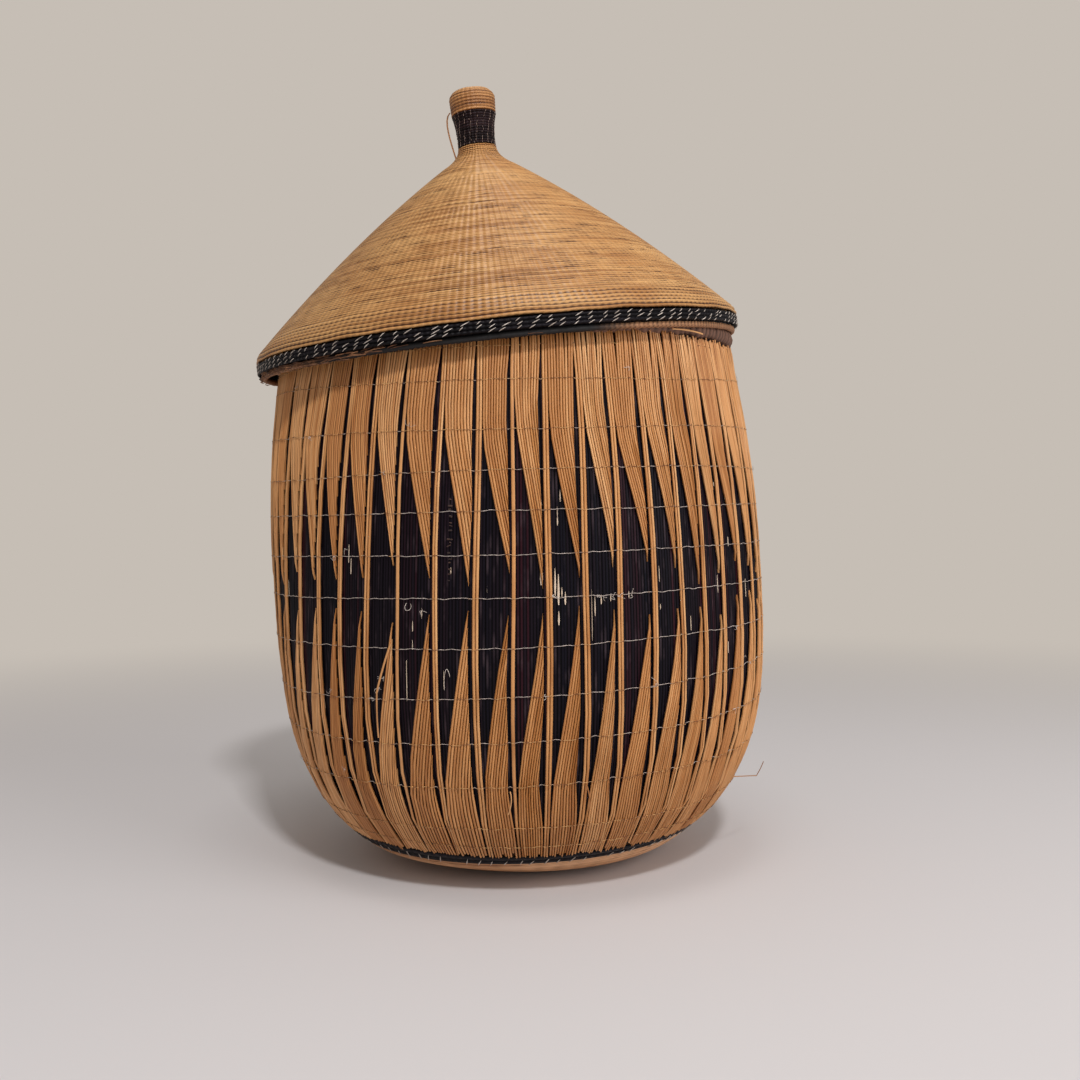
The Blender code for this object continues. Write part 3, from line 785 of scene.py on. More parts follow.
def roll_up(mesh, points):
    """Moves the corners, merges the borders that meet, and turns the faces outward."""
    mesh.vertices.foreach_set("co", points.astype(np.float32).ravel())
    bm = bmesh.new()
    bm.from_mesh(mesh)
    bmesh.ops.remove_doubles(bm, verts=bm.verts, dist=MERGE_DISTANCE)
    bmesh.ops.dissolve_degenerate(bm, edges=bm.edges, dist=MERGE_DISTANCE)
    bmesh.ops.recalc_face_normals(bm, faces=bm.faces)
    bm.to_mesh(mesh)
    bm.free()
    mesh.shade_smooth()
    return mesh


def lay_ring(name, middle, outward, radius, sides, values=None):
    """Leads a round section along a closed path. radius has a value for each step and side, and so
    has values, a dictionary of what the finish reads."""
    steps = len(middle)
    mesh, numbers = flat_grid(name, steps, sides)
    step = numbers[:, 0].astype(int) % steps
    side = numbers[:, 1].astype(int) % sides
    for key, value in (values or {}).items():
        set_values(mesh, key, value[step, side])
    ahead = unit(np.roll(middle, -1, axis=0) - np.roll(middle, 1, axis=0))
    upward = unit(np.cross(outward, ahead))
    outward = np.cross(ahead, upward)
    angle = side / sides * math.tau
    radius = np.broadcast_to(radius, (steps, sides))[step, side]
    points = middle[step] + outward[step] * (radius * np.cos(angle))[:, None]
    points = points + upward[step] * (radius * np.sin(angle))[:, None]
    return roll_up(mesh, points)


def slow_wave(steps, waves, size):
    """A wandering line that closes on itself, made of a few sine waves."""
    turn = np.arange(steps) / steps * math.tau
    total = np.zeros(steps)
    for number in waves:
        total += np.sin(number * turn + chance.uniform(0, math.tau))
    return total * size / math.sqrt(len(waves))


# %% [markdown]
# Thin threads tie the reeds down in rows. Each lies on the natural reeds, sinks where only dyed ones
# stand behind it, and wanders a little up and down. It is twisted, so it looks beaded. On the natural
# reeds it is coloured like them, with dark dashes painted as shade where it dips between them.

# %% Tie threads
thread_material, tree, shader = new_material("twisted plant fibre thread", 0.8)
where = add_node(tree, "TexCoord").outputs["Object"]
bare = add_node(tree, "Attribute", attribute_name="bare").outputs["Fac"]
mottle = add_node(tree, "TexNoise", {"Vector": where, "Scale": 0.3 / MM, "Detail": 2})
dip_places = add_node(tree, "TexNoise", {"Vector": where, "Scale": 0.65 / MM, "Detail": 0})
# Painted shade: dark dashes on the natural reeds, where the thread dips between them.
painted_dip_shade = add_node(tree, "MapRange", {0: dip_places, 1: 0.4, 2: 0.6})
pale_on_dye = add_node(tree, "Mix", {0: mottle, 6: "8E7F77", 7: "E4D6CD"}, data_type="RGBA")
reed_coloured = add_node(tree, "Mix", {0: painted_dip_shade, 6: "6E3F22", 7: "D0A26A"}, data_type="RGBA")
# worn is the thread's colour: reed coloured with painted shade over natural reeds, pale over dyed ones.
worn = add_node(tree, "Mix", {0: bare, 6: reed_coloured, 7: pale_on_dye}, data_type="RGBA")
feed(shader, {"Base Color": worn})
print(thread_material.name, "has", len(tree.nodes), "nodes")

# %% Where the threads lie
THREAD_HEIGHTS = np.array((27, 37, 57.6, 77.6, 97.2, 118.4, 139, 157.4, 176, 194.4, 214.8, 238.4, 249)) * MM
# The rows below the rim sag at the front, but for the last, which the rim coil holds.
THREAD_SAG = 4.9 * MM
SAG_END = WALL_HEIGHT - 5 * MM
THREAD_RADIUS = 0.13 * MM
THREAD_STEPS = 900
THREAD_SIDES = 4
THREAD_NODES = 12
# Waves for each turn, and their size: slow ones, and the small ones from reed to reed.
WANDER = ((2, 3, 5), 0.4 * MM)
WOBBLE = ((31, 47, 83, 130), 0.22 * MM)
# How far a thread's middle stands out on natural reeds, how much deeper it lies on dyed ones, how
# uneven that is, how much its beads swell, and the radians that its twist turns at each step.
STANDS_OUT = 0.08 * MM
STEP_DOWN = 1.0 * MM
THREAD_DEPTHS = 0.05 * MM
TWIST_SHARE = 0.3
TWIST_TURN = 2.1
# Where the cover of a reed begins and is whole, counted inward from its side.
COVER_START = -0.7 * MM
COVER_WHOLE = 0.2 * MM


def covered(azimuth, height):
    """1 where natural reeds lie, 0 where the dyed layer shows, with soft borders."""
    share = np.zeros(len(azimuth))
    radius = outer_radius(height)
    upper = height > POINT_HEIGHT
    bend = UPPER_SPLIT if upper else LOWER_MERGE
    tip = POINT_HEIGHT + (POINT_GAP / 2 if upper else -POINT_GAP / 2)
    passed = min(max((height - bend) / (tip - bend), 0), 1)
    for period in range(PERIODS):
        middle = strip_middle(period, height)
        left, right = bundle_sides(period, height)
        left = right - (right - left) * (1 - passed)
        half = strip_widths[period] / 2 / radius
        for low, high in ((middle - half, middle + half), (left, right)):
            offset = (azimuth - (low + high) / 2 + math.pi) % math.tau - math.pi
            inside = (high - low) / 2 - np.abs(offset)
            share = np.maximum(share, smooth_step(inside * radius, COVER_START, COVER_WHOLE))
    return share


# %% Lay the threads
bm = bmesh.new()
turn = np.arange(THREAD_STEPS) / THREAD_STEPS * math.tau
beads = THREAD_RADIUS * (1 + TWIST_SHARE * np.sin(np.arange(THREAD_STEPS) * TWIST_TURN))[:, None]
for height in THREAD_HEIGHTS:
    sag = THREAD_SAG * smooth_step(height, DIP_START, WALL_HEIGHT) * (height < SAG_END)
    level = height - sag * np.clip(np.cos(turn), 0, 1)
    level = level + slow_wave(THREAD_STEPS, *WANDER) + slow_wave(THREAD_STEPS, *WOBBLE)
    bare_share = 1 - covered(turn, height)
    depth = bare_share * STEP_DOWN - STANDS_OUT + chance.normal(0, THREAD_DEPTHS, THREAD_STEPS)
    middle = on_wall(turn, level, depth)
    outward = unit(on_wall(turn, level, depth - MM) - middle)
    values = {"bare": np.repeat(bare_share[:, None], THREAD_SIDES, axis=1)}
    bm.from_mesh(lay_ring("thread", middle, outward, beads, THREAD_SIDES, values))
thread_nodes = [f"tie_thread_{row + 1:02d}" for row in range(THREAD_NODES)]
add_piece("tie_threads", as_mesh(bm, "tie_threads"), thread_material, "basket", thread_nodes)

# %% [markdown]
# The lid, the foot and the lining are coiled: one long rope of grass is wound in a spiral and every
# turn is sewn to the one before. A grid is rolled up again, but rises by one row on its way round.
# The end of each row then meets the start of the next, and merging sews it shut. A modifier then
# gives the sheet its wall.

# %% Tools for coils
# The side where rows end and start is turned to the back.
COIL_SEAM = math.radians(170)
ROW_WAVES = (13, 19, 29, 37)


def loops_uv(mesh):
    uv = np.empty(len(mesh.loops) * 2, np.float32)
    mesh.uv_layers["coil"].data.foreach_get("uv", uv)
    return uv.reshape(-1, 2)


def scale_uv(mesh, along, across):
    uv = loops_uv(mesh) * np.stack(np.broadcast_arrays(along, across), -1)
    mesh.uv_layers["coil"].data.foreach_set("uv", uv.astype(np.float32).ravel())


def coil_mesh(name, rows, place, move, per_row, steps, warps, wander=0):
    """Winds rows of coil. place(row, crest) gives radius and height of a point, where row counts
    the rows passed and crest is 0 in a groove and 1 on the crest. warps is the stitches per turn."""
    mesh, numbers = flat_grid(name, steps, rows * per_row)
    passed = numbers[:, 0] / steps
    row = numbers[:, 1] / per_row
    crest = np.sqrt(np.abs(np.sin(row * math.pi)))
    wave = slow_wave(steps, ROW_WAVES, wander)[numbers[:, 0].astype(int) % steps]
    radius, height = place(row + passed + wave, crest)
    scale_uv(mesh, warps / steps, 1 / per_row)
    return roll_up(mesh, move(round_axis(radius, passed * math.tau + COIL_SEAM, height)))


def wound(row, rows):
    """The share of its rows that a coil has passed. Its first and last turn flatten into the ends."""
    return np.clip((row - 0.5) / rows, 0, 1)


def thicken(piece, wall, offset=-1):
    """Gives a sheet its wall, inward, or outward with an offset of 1."""
    solidify = piece.modifiers.new("wall", "SOLIDIFY")
    solidify.thickness = wall
    solidify.offset = offset


# %% [markdown]
# The lid is twined from fine grass over ribs that run up to its knob. Its rows are a little over a
# millimetre high, with six coarser ones at the shoulder. Each rib lifts them. Every groove between two
# rows carries painted shade, darkest where here and there a groove stands open.

# %% Coiled grass
# The bump's depth where the waves are whole, and the share of it that the strands take.
RELIEF = 0.35 * MM
STRAND_DEPTH = 0.4


def coil_finish(name, colours, roughness, specular, rib_depth, row_depth, open_rows):
    """Finish of a coil: colours are its groove, middle and crest, and the groove colour also paints shade
    into the grooves. Its first open_rows have wide grooves.
    """
    material, tree, shader = new_material(name, roughness, specular)
    groove, middle, crest = colours
    where = add_node(tree, "TexCoord").outputs["Object"]
    uv = add_node(tree, "UVMap", uv_map="coil")
    axes = add_node(tree, "SeparateXYZ", {0: uv})
    along, up = axes.outputs["X"], axes.outputs["Y"]
    # The waves of the ribs and of the rows, which sway a little above the first rows.
    ribs = add_node(tree, "Math", {0: along, 1: math.tau}, operation="MULTIPLY")
    rib_wave = add_node(tree, "Math", {0: ribs}, operation="COSINE")
    long_turn = add_node(tree, "Mapping", {"Vector": uv, "Scale": (0.4, 0.3, 1)})
    wander = add_node(tree, "TexNoise", {"Vector": long_turn, "Scale": 1}, noise_dimensions="2D")
    centred = add_node(tree, "Math", {0: wander, 1: 0.5}, operation="SUBTRACT")
    strays = add_node(tree, "MapRange", {0: up, 1: open_rows - 0.1, 2: open_rows + 2, 4: 0.5})
    swayed = add_node(tree, "Math", {0: centred, 1: strays}, operation="MULTIPLY")
    across = add_node(tree, "Math", {0: up, 1: swayed}, operation="ADD")
    rows = add_node(tree, "Math", {0: across, 1: math.pi}, operation="MULTIPLY")
    row_sine = add_node(tree, "Math", {0: rows}, operation="SINE")
    row_wave = add_node(tree, "Math", {0: row_sine}, operation="ABSOLUTE")
    # Streaks follow the rows, patches lie anywhere, and strands are the fibres of the grass.
    row_turn = add_node(tree, "Mapping", {"Vector": uv, "Scale": (0.03, 0.8, 1)})
    streaks = add_node(
        tree, "TexNoise", {"Vector": row_turn, "Scale": 1, "Detail": 3}, noise_dimensions="2D"
    )
    patches = add_node(tree, "TexNoise", {"Vector": where, "Scale": 0.028 / MM, "Detail": 5})
    stretched = add_node(tree, "Mapping", {"Vector": where, "Scale": (0.06 / MM, 0.06 / MM, 1 / MM)})
    strands = add_node(tree, "TexNoise", {"Vector": stretched, "Scale": 1, "Detail": 3})
    both = add_node(tree, "Math", {0: patches, 1: streaks}, operation="ADD")
    mottle = add_node(tree, "MapRange", {0: both, 1: 0.8, 2: 1.2})
    fleck = add_node(tree, "MapRange", {0: strands, 1: 0.5, 2: 0.75, 4: 0.15})
    tint = add_node(tree, "MapRange", {0: streaks, 1: 0.5, 2: 0.25, 4: 0.3})
    # How dark the painted shade in a groove is, and how far the groove stands open, goes by its number.
    # Each pair of values is for the grooves of the first rows and for the later ones.
    half_up = add_node(tree, "Math", {0: across, 1: 0.5}, operation="ADD")
    groove_number = add_node(tree, "Math", {0: half_up}, operation="FLOOR")
    slow_along = add_node(tree, "Math", {0: along, 1: 0.03}, operation="MULTIPLY")
    groove_place = add_node(tree, "CombineXYZ", {0: slow_along, 1: groove_number})
    gaps = add_node(tree, "TexNoise", {"Vector": groove_place, "Scale": 3.7}, noise_dimensions="2D")
    darkest, faintest, widest, loosest = [
        add_node(tree, "MapRange", {0: up, 1: open_rows - 0.1, 2: open_rows + 0.1, 3: first, 4: later})
        for first, later in ((1, 0.9), (0.95, 0.25), (0.88, 0.7), (0, -0.25))
    ]
    darkness = add_node(tree, "MapRange", {0: gaps, 1: 0.35, 2: 0.65, 3: faintest, 4: darkest})
    parted = add_node(tree, "MapRange", {0: gaps, 1: 0.63, 2: 0.68, 4: loosest})
    opened = add_node(tree, "Math", {0: row_wave, 1: parted}, operation="ADD")
    notched = add_node(tree, "Math", {0: rib_wave, 1: 0.13, 2: opened}, operation="MULTIPLY_ADD")
    # Painted shade: the grooves between rows go towards the groove colour, a little darker between ribs.
    edges = {0: notched, 1: 0.15, 2: widest, 3: darkness, 4: 0}
    painted_row_shade = add_node(tree, "MapRange", edges, interpolation_type="SMOOTHSTEP")
    colour = middle
    for share, other in ((mottle, crest), (fleck, groove), (tint, groove), (painted_row_shade, groove)):
        colour = add_node(tree, "Mix", {0: share, 6: colour, 7: other}, data_type="RGBA")
    # The relief is the sum of the ribs, the rows and the strands, each times its depth.
    rib_height, row_height, fine = [
        add_node(tree, "Math", {0: wave, 1: depth}, operation="MULTIPLY")
        for wave, depth in ((rib_wave, rib_depth), (row_wave, row_depth), (strands, STRAND_DEPTH))
    ]
    relief = add_node(tree, "Math", {0: rib_height, 1: row_height}, operation="ADD")
    all_relief = add_node(tree, "Math", {0: relief, 1: fine}, operation="ADD")
    bump = add_node(tree, "Bump", {"Strength": 0.8, "Distance": RELIEF, "Height": all_relief})
    feed(shader, {"Base Color": colour, "Normal": bump})
    print(name, "has", len(tree.nodes), "nodes")
    return material


GRASS = ("74482A", "C08A5E", "E2B084")
LID_GRASS = ("472510", "B47D47", "D2A066")
KNOB_GRASS = ("55301A", "A8713E", "D09A62")
BLACK_GRASS = ("030203", "0B090C", "161218")
WORN_GRASS = ("080506", "1B1114", "38262A")

coil_material, lid_material, knob_material, black_coil_material, waist_material = [
    coil_finish(name, colours, roughness, specular, rib_depth, row_depth, open_rows)
    for name, colours, roughness, specular, rib_depth, row_depth, open_rows in (
        ("coiled grass, sewn", GRASS, 0.6, 0.5, 0.5, 0.7, 0),
        ("twined grass of the lid", LID_GRASS, 0.42, 0.35, 0.42, 1.1, 6),
        ("reddish grass of the knob", KNOB_GRASS, 0.5, 0.5, 0.3, 1, 0),
        ("coiled grass, dyed black", BLACK_GRASS, 0.5, 0.15, 0.5, 0.8, 0),
        ("fine black coil, worn brown", WORN_GRASS, 0.5, 0.15, 0.6, 0.8, 0),
    )
]

# %% [markdown]
# The lid has a frame of its own: slid a little to the left and forward on the rim, tipped the same
# two ways, and turned with the lean of the basket.

# %% The lid's frame
SLID_LEFT = 2.5 * MM
SLID_FORWARD = 2.5 * MM
TIPPED_LEFT = math.radians(2.4)
TIPPED_FORWARD = math.radians(2.4)
LID_REST = -0.649 * MM
RIM_COIL = 8 * MM
RIM_COIL_RADIUS = RIM_RADIUS + 2 * MM - RIM_COIL / 2
RIM_COIL_HEIGHT = WALL_HEIGHT + 0.3 * MM + RIM_COIL / 2
LID_BORE = RIM_COIL_RADIUS + RIM_COIL / 2 + 0.4 * MM
EDGE_COIL = 2.2 * MM
EDGE_WRAP = 0.4 * MM
EDGE_RADIUS = LID_BORE + 0.3 * MM + EDGE_COIL / 2
LID_RADIUS = LID_BORE + 5 * MM
LID_BAND_FOOT = EDGE_COIL + 0.3 * MM
LID_BAND = 5.2 * MM
CONE_FOOT = LID_BAND_FOOT + LID_BAND + 0.3 * MM
SHOULDER_BEND = 7 * MM
CONE_TOP_RADIUS = 20 * MM
CONE_TOP = 98.3 * MM
CONE_CROWN = 4 * MM
NECK_TOP = 109.6 * MM
NECK_RADIUS = 10 * MM
LEDGE_HEIGHT = 11.757 * MM

LID_FRAME = (
    LEAN
    @ DIP
    @ Matrix.Translation((-SLID_LEFT, -SLID_FORWARD, RIM_COIL_HEIGHT + LID_REST))
    @ Matrix.Rotation(-TIPPED_LEFT, 4, "Y")
    @ Matrix.Rotation(TIPPED_FORWARD, 4, "X")
)
SLOPE_ANGLE = math.atan2(LID_RADIUS - CONE_TOP_RADIUS, CONE_TOP - CONE_FOOT)
BEND_LENGTH = SHOULDER_BEND * SLOPE_ANGLE
CONE_START = (
    LID_RADIUS - SHOULDER_BEND * (1 - math.cos(SLOPE_ANGLE)),
    CONE_FOOT + SHOULDER_BEND * math.sin(SLOPE_ANGLE),
)
CONE_LENGTH = math.hypot(CONE_START[0] - CONE_TOP_RADIUS, CONE_TOP - CONE_START[1])
NECK_LENGTH = math.hypot(CONE_TOP_RADIUS - NECK_RADIUS, NECK_TOP - CONE_TOP)
print("The lid's side, from upright, in degrees:", round(math.degrees(SLOPE_ANGLE)))


def on_lid(points):
    return moved(points, LID_FRAME)


def rods_on_lid(name, paths, width, thick, sides=5):
    """Rods that face away from the lid's axis, along paths in the lid's own frame."""
    outward = on_lid(unit(paths * (1, 1, 0))) - on_lid(np.zeros(3))
    return lay_rods(name, on_lid(paths), outward, width, thick, sides)


def lid_skin(along, inset):
    """Radius and height on the lid's outer form, at a length along the way up from its foot."""
    bend = np.clip(along / SHOULDER_BEND, 0, SLOPE_ANGLE)
    share = np.clip((along - BEND_LENGTH) / CONE_LENGTH, 0, 1)
    up_neck = np.clip((along - BEND_LENGTH - CONE_LENGTH) / NECK_LENGTH, 0, 1)
    on_bend = along < BEND_LENGTH
    radius = np.where(
        on_bend,
        LID_RADIUS - SHOULDER_BEND * (1 - np.cos(bend)),
        CONE_START[0] + (CONE_TOP_RADIUS - CONE_START[0]) * share,
    )
    height = np.where(
        on_bend,
        CONE_FOOT + SHOULDER_BEND * np.sin(bend),
        CONE_START[1] + (CONE_TOP - CONE_START[1]) * share + 4 * CONE_CROWN * share * (1 - share),
    )
    neck_radius = NECK_RADIUS + (CONE_TOP_RADIUS - NECK_RADIUS) * (1 - up_neck) ** 2
    radius = np.where(up_neck > 0, neck_radius, radius)
    height = np.where(up_neck > 0, CONE_TOP + (NECK_TOP - CONE_TOP) * up_neck, height)
    turn = np.where(up_neck > 0, SLOPE_ANGLE * (1 - up_neck), bend)
    return radius - inset * np.cos(turn), height - inset * np.sin(turn)


# %% Lid cone
SHOULDER_ROWS = 6
SHOULDER_PITCH = 2.2 * MM
SHOULDER_GROOVE = 1.0 * MM
FINE_PITCH = 1.36 * MM
FINE_GROOVE = 0.38 * MM
DEEP_GROOVE = 0.7 * MM
DEEP_SHARE = 0.12
LID_WALL = 3.2 * MM
# Ribs for each turn where the lid is wider than these radii, from the shoulder up, and at the top.
RIB_RADII = np.array((92, 60, 34)) * MM
RIB_COUNTS = (224, 160, 96)
TOP_RIBS = 48

whole_length = BEND_LENGTH + CONE_LENGTH + NECK_LENGTH
shoulder = SHOULDER_ROWS * SHOULDER_PITCH
fine_rows = round((whole_length - shoulder) / FINE_PITCH)
lid_rows = SHOULDER_ROWS + fine_rows
row_lengths = np.append(
    np.arange(SHOULDER_ROWS + 1) * SHOULDER_PITCH, np.linspace(shoulder, whole_length, fine_rows + 1)[1:]
)
groove_depths = np.where(chance.random(lid_rows + 2) < DEEP_SHARE, DEEP_GROOVE, FINE_GROOVE)
groove_depths[:SHOULDER_ROWS] = SHOULDER_GROOVE
print("The lid has", lid_rows, "rows")


def lid_place(row, crest):
    along = np.interp(row - 0.5, np.arange(lid_rows + 1), row_lengths)
    depth = np.interp(row, np.arange(lid_rows + 2), groove_depths)
    return lid_skin(along, (1 - crest) * depth)


def add_ribs(mesh):
    """Gives the ribs about three millimetres each: their number grows in steps towards the foot."""
    first = np.empty(len(mesh.polygons), np.int32)
    mesh.polygons.foreach_get("loop_start", first)
    count = np.diff(np.append(first, len(mesh.loops)))
    middle_row = np.repeat(np.add.reduceat(loops_uv(mesh)[:, 1], first) / count, count)
    radius, _ = lid_skin(np.interp(np.floor(middle_row), np.arange(lid_rows + 1), row_lengths), 0)
    scale_uv(mesh, np.select(list(radius > RIB_RADII[:, None]), RIB_COUNTS, TOP_RIBS), 1)


lid_mesh = coil_mesh(
    "lid_cone_coil", lid_rows, lid_place, on_lid, per_row=3, steps=144, warps=1, wander=0.1
)
add_ribs(lid_mesh)
lid_cone = add_piece("lid_cone_coil", lid_mesh, lid_material, "lid", ["lid_cone"])
thicken(lid_cone, LID_WALL)

# %% [markdown]
# Below the cone runs a band of three black coils, sewn with pale stitches that slant upward to the
# right, and below it the wrapped coil of the edge.

# %% Black band of the lid
BLACK_ROWS = 3
BLACK_WALL = 3 * MM
BLACK_GROOVE = 0.7 * MM
BLACK_INSET = 0.1 * MM


def black_place(row, crest):
    radius = LID_RADIUS - BLACK_GROOVE * (1 - crest) - BLACK_INSET
    return radius, LID_BAND_FOOT + LID_BAND * wound(row, BLACK_ROWS)


black_mesh = coil_mesh("lid_black_coils", BLACK_ROWS, black_place, on_lid, per_row=6, steps=300, warps=300)
band = add_piece(
    "lid_black_coils", black_mesh, black_coil_material, "lid", ["lid_black_band"]
)
thicken(band, BLACK_WALL)

# %% Pale stitches


def stitch_finish(name, dark, pale):
    material, tree, shader = new_material(name, 0.6)
    where = add_node(tree, "TexCoord").outputs["Object"]
    mottle = add_node(tree, "TexNoise", {"Vector": where, "Scale": 0.4 / MM, "Detail": 2})
    share = add_node(tree, "MapRange", {0: mottle, 1: 0.3, 2: 0.7})
    feed(shader, {"Base Color": add_node(tree, "Mix", {0: share, 6: dark, 7: pale}, data_type="RGBA")})
    print(name, "has", len(tree.nodes), "nodes")
    return material


stitch_material = stitch_finish("undyed raffia stitch", "97887C", "E2D6CC")
worn_stitch_material = stitch_finish("raffia stitch, worn brown", "3E2A28", "B49A8C")

BAND_STITCHES = 128
BAND_LEAN = math.radians(1.6)
BAND_SPREAD = 0.1
STITCH_WIDTHS = np.array((0.12, 0.4, 0.36, 0.12)) * MM
STITCH_THICK = 0.25 * MM
STITCH_LIFT = 0.05 * MM
WORN_STITCHES = 0.08
# Where a stitch starts and ends, in rows, and how much stitches differ in place and lean.
STITCH_STARTS = (0, 0.2)
STITCH_ENDS = (0.8, 1.1)
STITCH_STRAY = 0.1
STITCH_LEANS = (0.6, 1.4)


def stitch_paths(rows, per_row, lean, spread, place):
    """Stations of slanted stitches, of which some are worn away. place(row, azimuth) gives points on
    the coil, lean is how far round it a stitch runs, and spread shifts each row by so many stitches."""
    paths = []
    for row in range(rows):
        for number in range(per_row):
            if chance.random() < WORN_STITCHES:
                continue
            start = (number + row * spread + chance.normal(0, STITCH_STRAY)) / per_row * math.tau
            first, last = chance.uniform(*STITCH_STARTS), chance.uniform(*STITCH_ENDS)
            rise = np.linspace(first, last, len(STITCH_WIDTHS))
            paths.append(place(row + rise, start + (rise - 0.5) * lean * chance.uniform(*STITCH_LEANS)))
    return np.array(paths)


def on_black_band(row, azimuth):
    crest = np.sqrt(np.abs(np.sin(row % 1 * math.pi)))
    radius = LID_RADIUS - BLACK_GROOVE * (1 - crest) + STITCH_LIFT
    return round_axis(radius, azimuth, LID_BAND_FOOT + LID_BAND * row / BLACK_ROWS)


stitches = stitch_paths(BLACK_ROWS, BAND_STITCHES, BAND_LEAN, BAND_SPREAD, on_black_band)
stitch_mesh = rods_on_lid("lid_band_stitches", stitches, STITCH_WIDTHS, STITCH_THICK)
add_piece("lid_band_stitches", stitch_mesh, stitch_material, "lid")

# %% [markdown]
# The edge coil of the lid and the coil on the basket's rim are wrapped with strips of bark fibre.
# Each wrap is a ridge across the coil, so the ring's radius rises and falls along its path.

# %% Wrapped coils


def wrap_finish(name, dark, middle, pale):
    material, tree, shader = new_material(name, 0.7)
    where = add_node(tree, "TexCoord").outputs["Object"]
    ridge, dyed = [
        add_node(tree, "Attribute", attribute_name=value).outputs["Fac"] for value in ("ridge", "dyed")
    ]
    patches = add_node(tree, "TexNoise", {"Vector": where, "Scale": 0.26 / MM, "Detail": 4})
    patch = add_node(tree, "MapRange", {0: patches, 1: 0.35, 2: 0.65})
    # Painted highlight: the crest of each wrap's ridge goes towards the pale colour, which leaves painted
    # shade between the wraps.
    crest = add_node(tree, "MapRange", {0: ridge, 1: 0.4, 2: 1, 4: 0.8})
    colour = dark
    # The dyed value paints the front of the edge coil near-black as painted shade.
    for share, other in ((patch, middle), (crest, pale), (dyed, "0C090A")):
        colour = add_node(tree, "Mix", {0: share, 6: colour, 7: other}, data_type="RGBA")
    fibres = add_node(tree, "TexNoise", {"Vector": where, "Scale": 1.5 / MM})
    bump = add_node(tree, "Bump", {"Strength": 0.4, "Distance": 0.15 * MM, "Height": fibres})
    feed(shader, {"Base Color": colour, "Normal": bump})
    print(name, "has", len(tree.nodes), "nodes")
    return material


rim_material = wrap_finish("brown bark wrapping", "2A1812", "553A2E", "8C6450")
edge_material = wrap_finish("pinkish bark wrapping", "2A180E", "744A2E", "C28C62")

# At the front, between these angles, the edge coil is painted near-black as painted shade, like the band.
EDGE_SHADE_LEFT = np.radians((-52, -36))
EDGE_SHADE_RIGHT = np.radians((20, 34))
RIDGE_SHARE = 0.16


def wrapped_ring(name, ring_radius, height, thick, move, wraps, slant, sides, per_wrap, lumps, dyed=0):
    """A ring of so many wraps, with a few steps each. slant is how many wraps a ridge shifts from the
    coil's top to its outside, and lumps is how unevenly thick the wraps are."""
    steps = wraps * per_wrap
    azimuth = np.arange(steps) / steps * math.tau
    middle = move(round_axis(ring_radius, azimuth, height))
    outward = unit(move(round_axis(ring_radius + MM, azimuth, height)) - middle)
    side = np.arange(sides) / sides
    phase = np.arange(steps)[:, None] / per_wrap + slant * np.cos(side * math.tau)
    wrap_starts = np.arange(0, steps + per_wrap, per_wrap)
    uneven = np.interp(np.arange(steps), wrap_starts, chance.normal(1, lumps, wraps + 1))
    ridge = np.abs(np.sin(phase * math.pi)) ** 0.5
    radius = thick / 2 * (1 - RIDGE_SHARE + RIDGE_SHARE * ridge) * uneven[:, None]
    front = (azimuth + math.pi) % math.tau - math.pi
    at_front = smooth_step(front, *EDGE_SHADE_LEFT) * (1 - smooth_step(front, *EDGE_SHADE_RIGHT))
    # dyed paints the front of the ring near-black as painted shade.
    values = {"ridge": ridge, "dyed": dyed * np.repeat(at_front[:, None], sides, axis=1)}
    return lay_ring(name, middle, outward, radius, sides, values)


rim_mesh = wrapped_ring(
    "rim_wrapping", RIM_COIL_RADIUS, RIM_COIL_HEIGHT, RIM_COIL, as_woven,
    wraps=170, slant=0.5, sides=12, per_wrap=6, lumps=0.09,
)
add_piece("rim_wrapping", rim_mesh, rim_material, "basket", ["rim_coil"])
# The wrap thickens the coil of the edge outward, so that it stays clear of the rim inside it.
edge_middle = EDGE_RADIUS + EDGE_WRAP
edge_thick = EDGE_COIL + 2 * EDGE_WRAP
# The front of the edge coil is painted near-black as shade.
edge_mesh = wrapped_ring(
    "lid_edge_wrapping", edge_middle, EDGE_COIL / 2, edge_thick, on_lid,
    wraps=300, slant=0.9, sides=8, per_wrap=5, lumps=0.06, dyed=1,
)
add_piece("lid_edge_wrapping", edge_mesh, edge_material, "lid", ["lid_edge_coil"])

# %% [markdown]
# Inside the lid a collar drops into the mouth and keeps it from sliding off. The photograph hides
# it, so it is a plain coiled ring.

# %% Collar
COLLAR_RADIUS = 104 * MM
COLLAR_WALL = 4 * MM
COLLAR_DEPTH = 15 * MM
COLLAR_ROWS = 6
COLLAR_GROOVE = 0.5 * MM


def collar_place(row, crest):
    height = LEDGE_HEIGHT - COLLAR_DEPTH + COLLAR_DEPTH * wound(row, COLLAR_ROWS)
    return COLLAR_RADIUS - COLLAR_GROOVE * (1 - crest), height


collar_mesh = coil_mesh(
    "lid_collar_coils", COLLAR_ROWS, collar_place, on_lid, per_row=4, steps=160, warps=200
)
collar = add_piece("lid_collar_coils", collar_mesh, coil_material, "lid", ["lid_collar"])
thicken(collar, COLLAR_WALL)

# %% [markdown]
# The knob is wound from the same fine coil, black at its waist and natural above, with a shallow
# hollow on top.

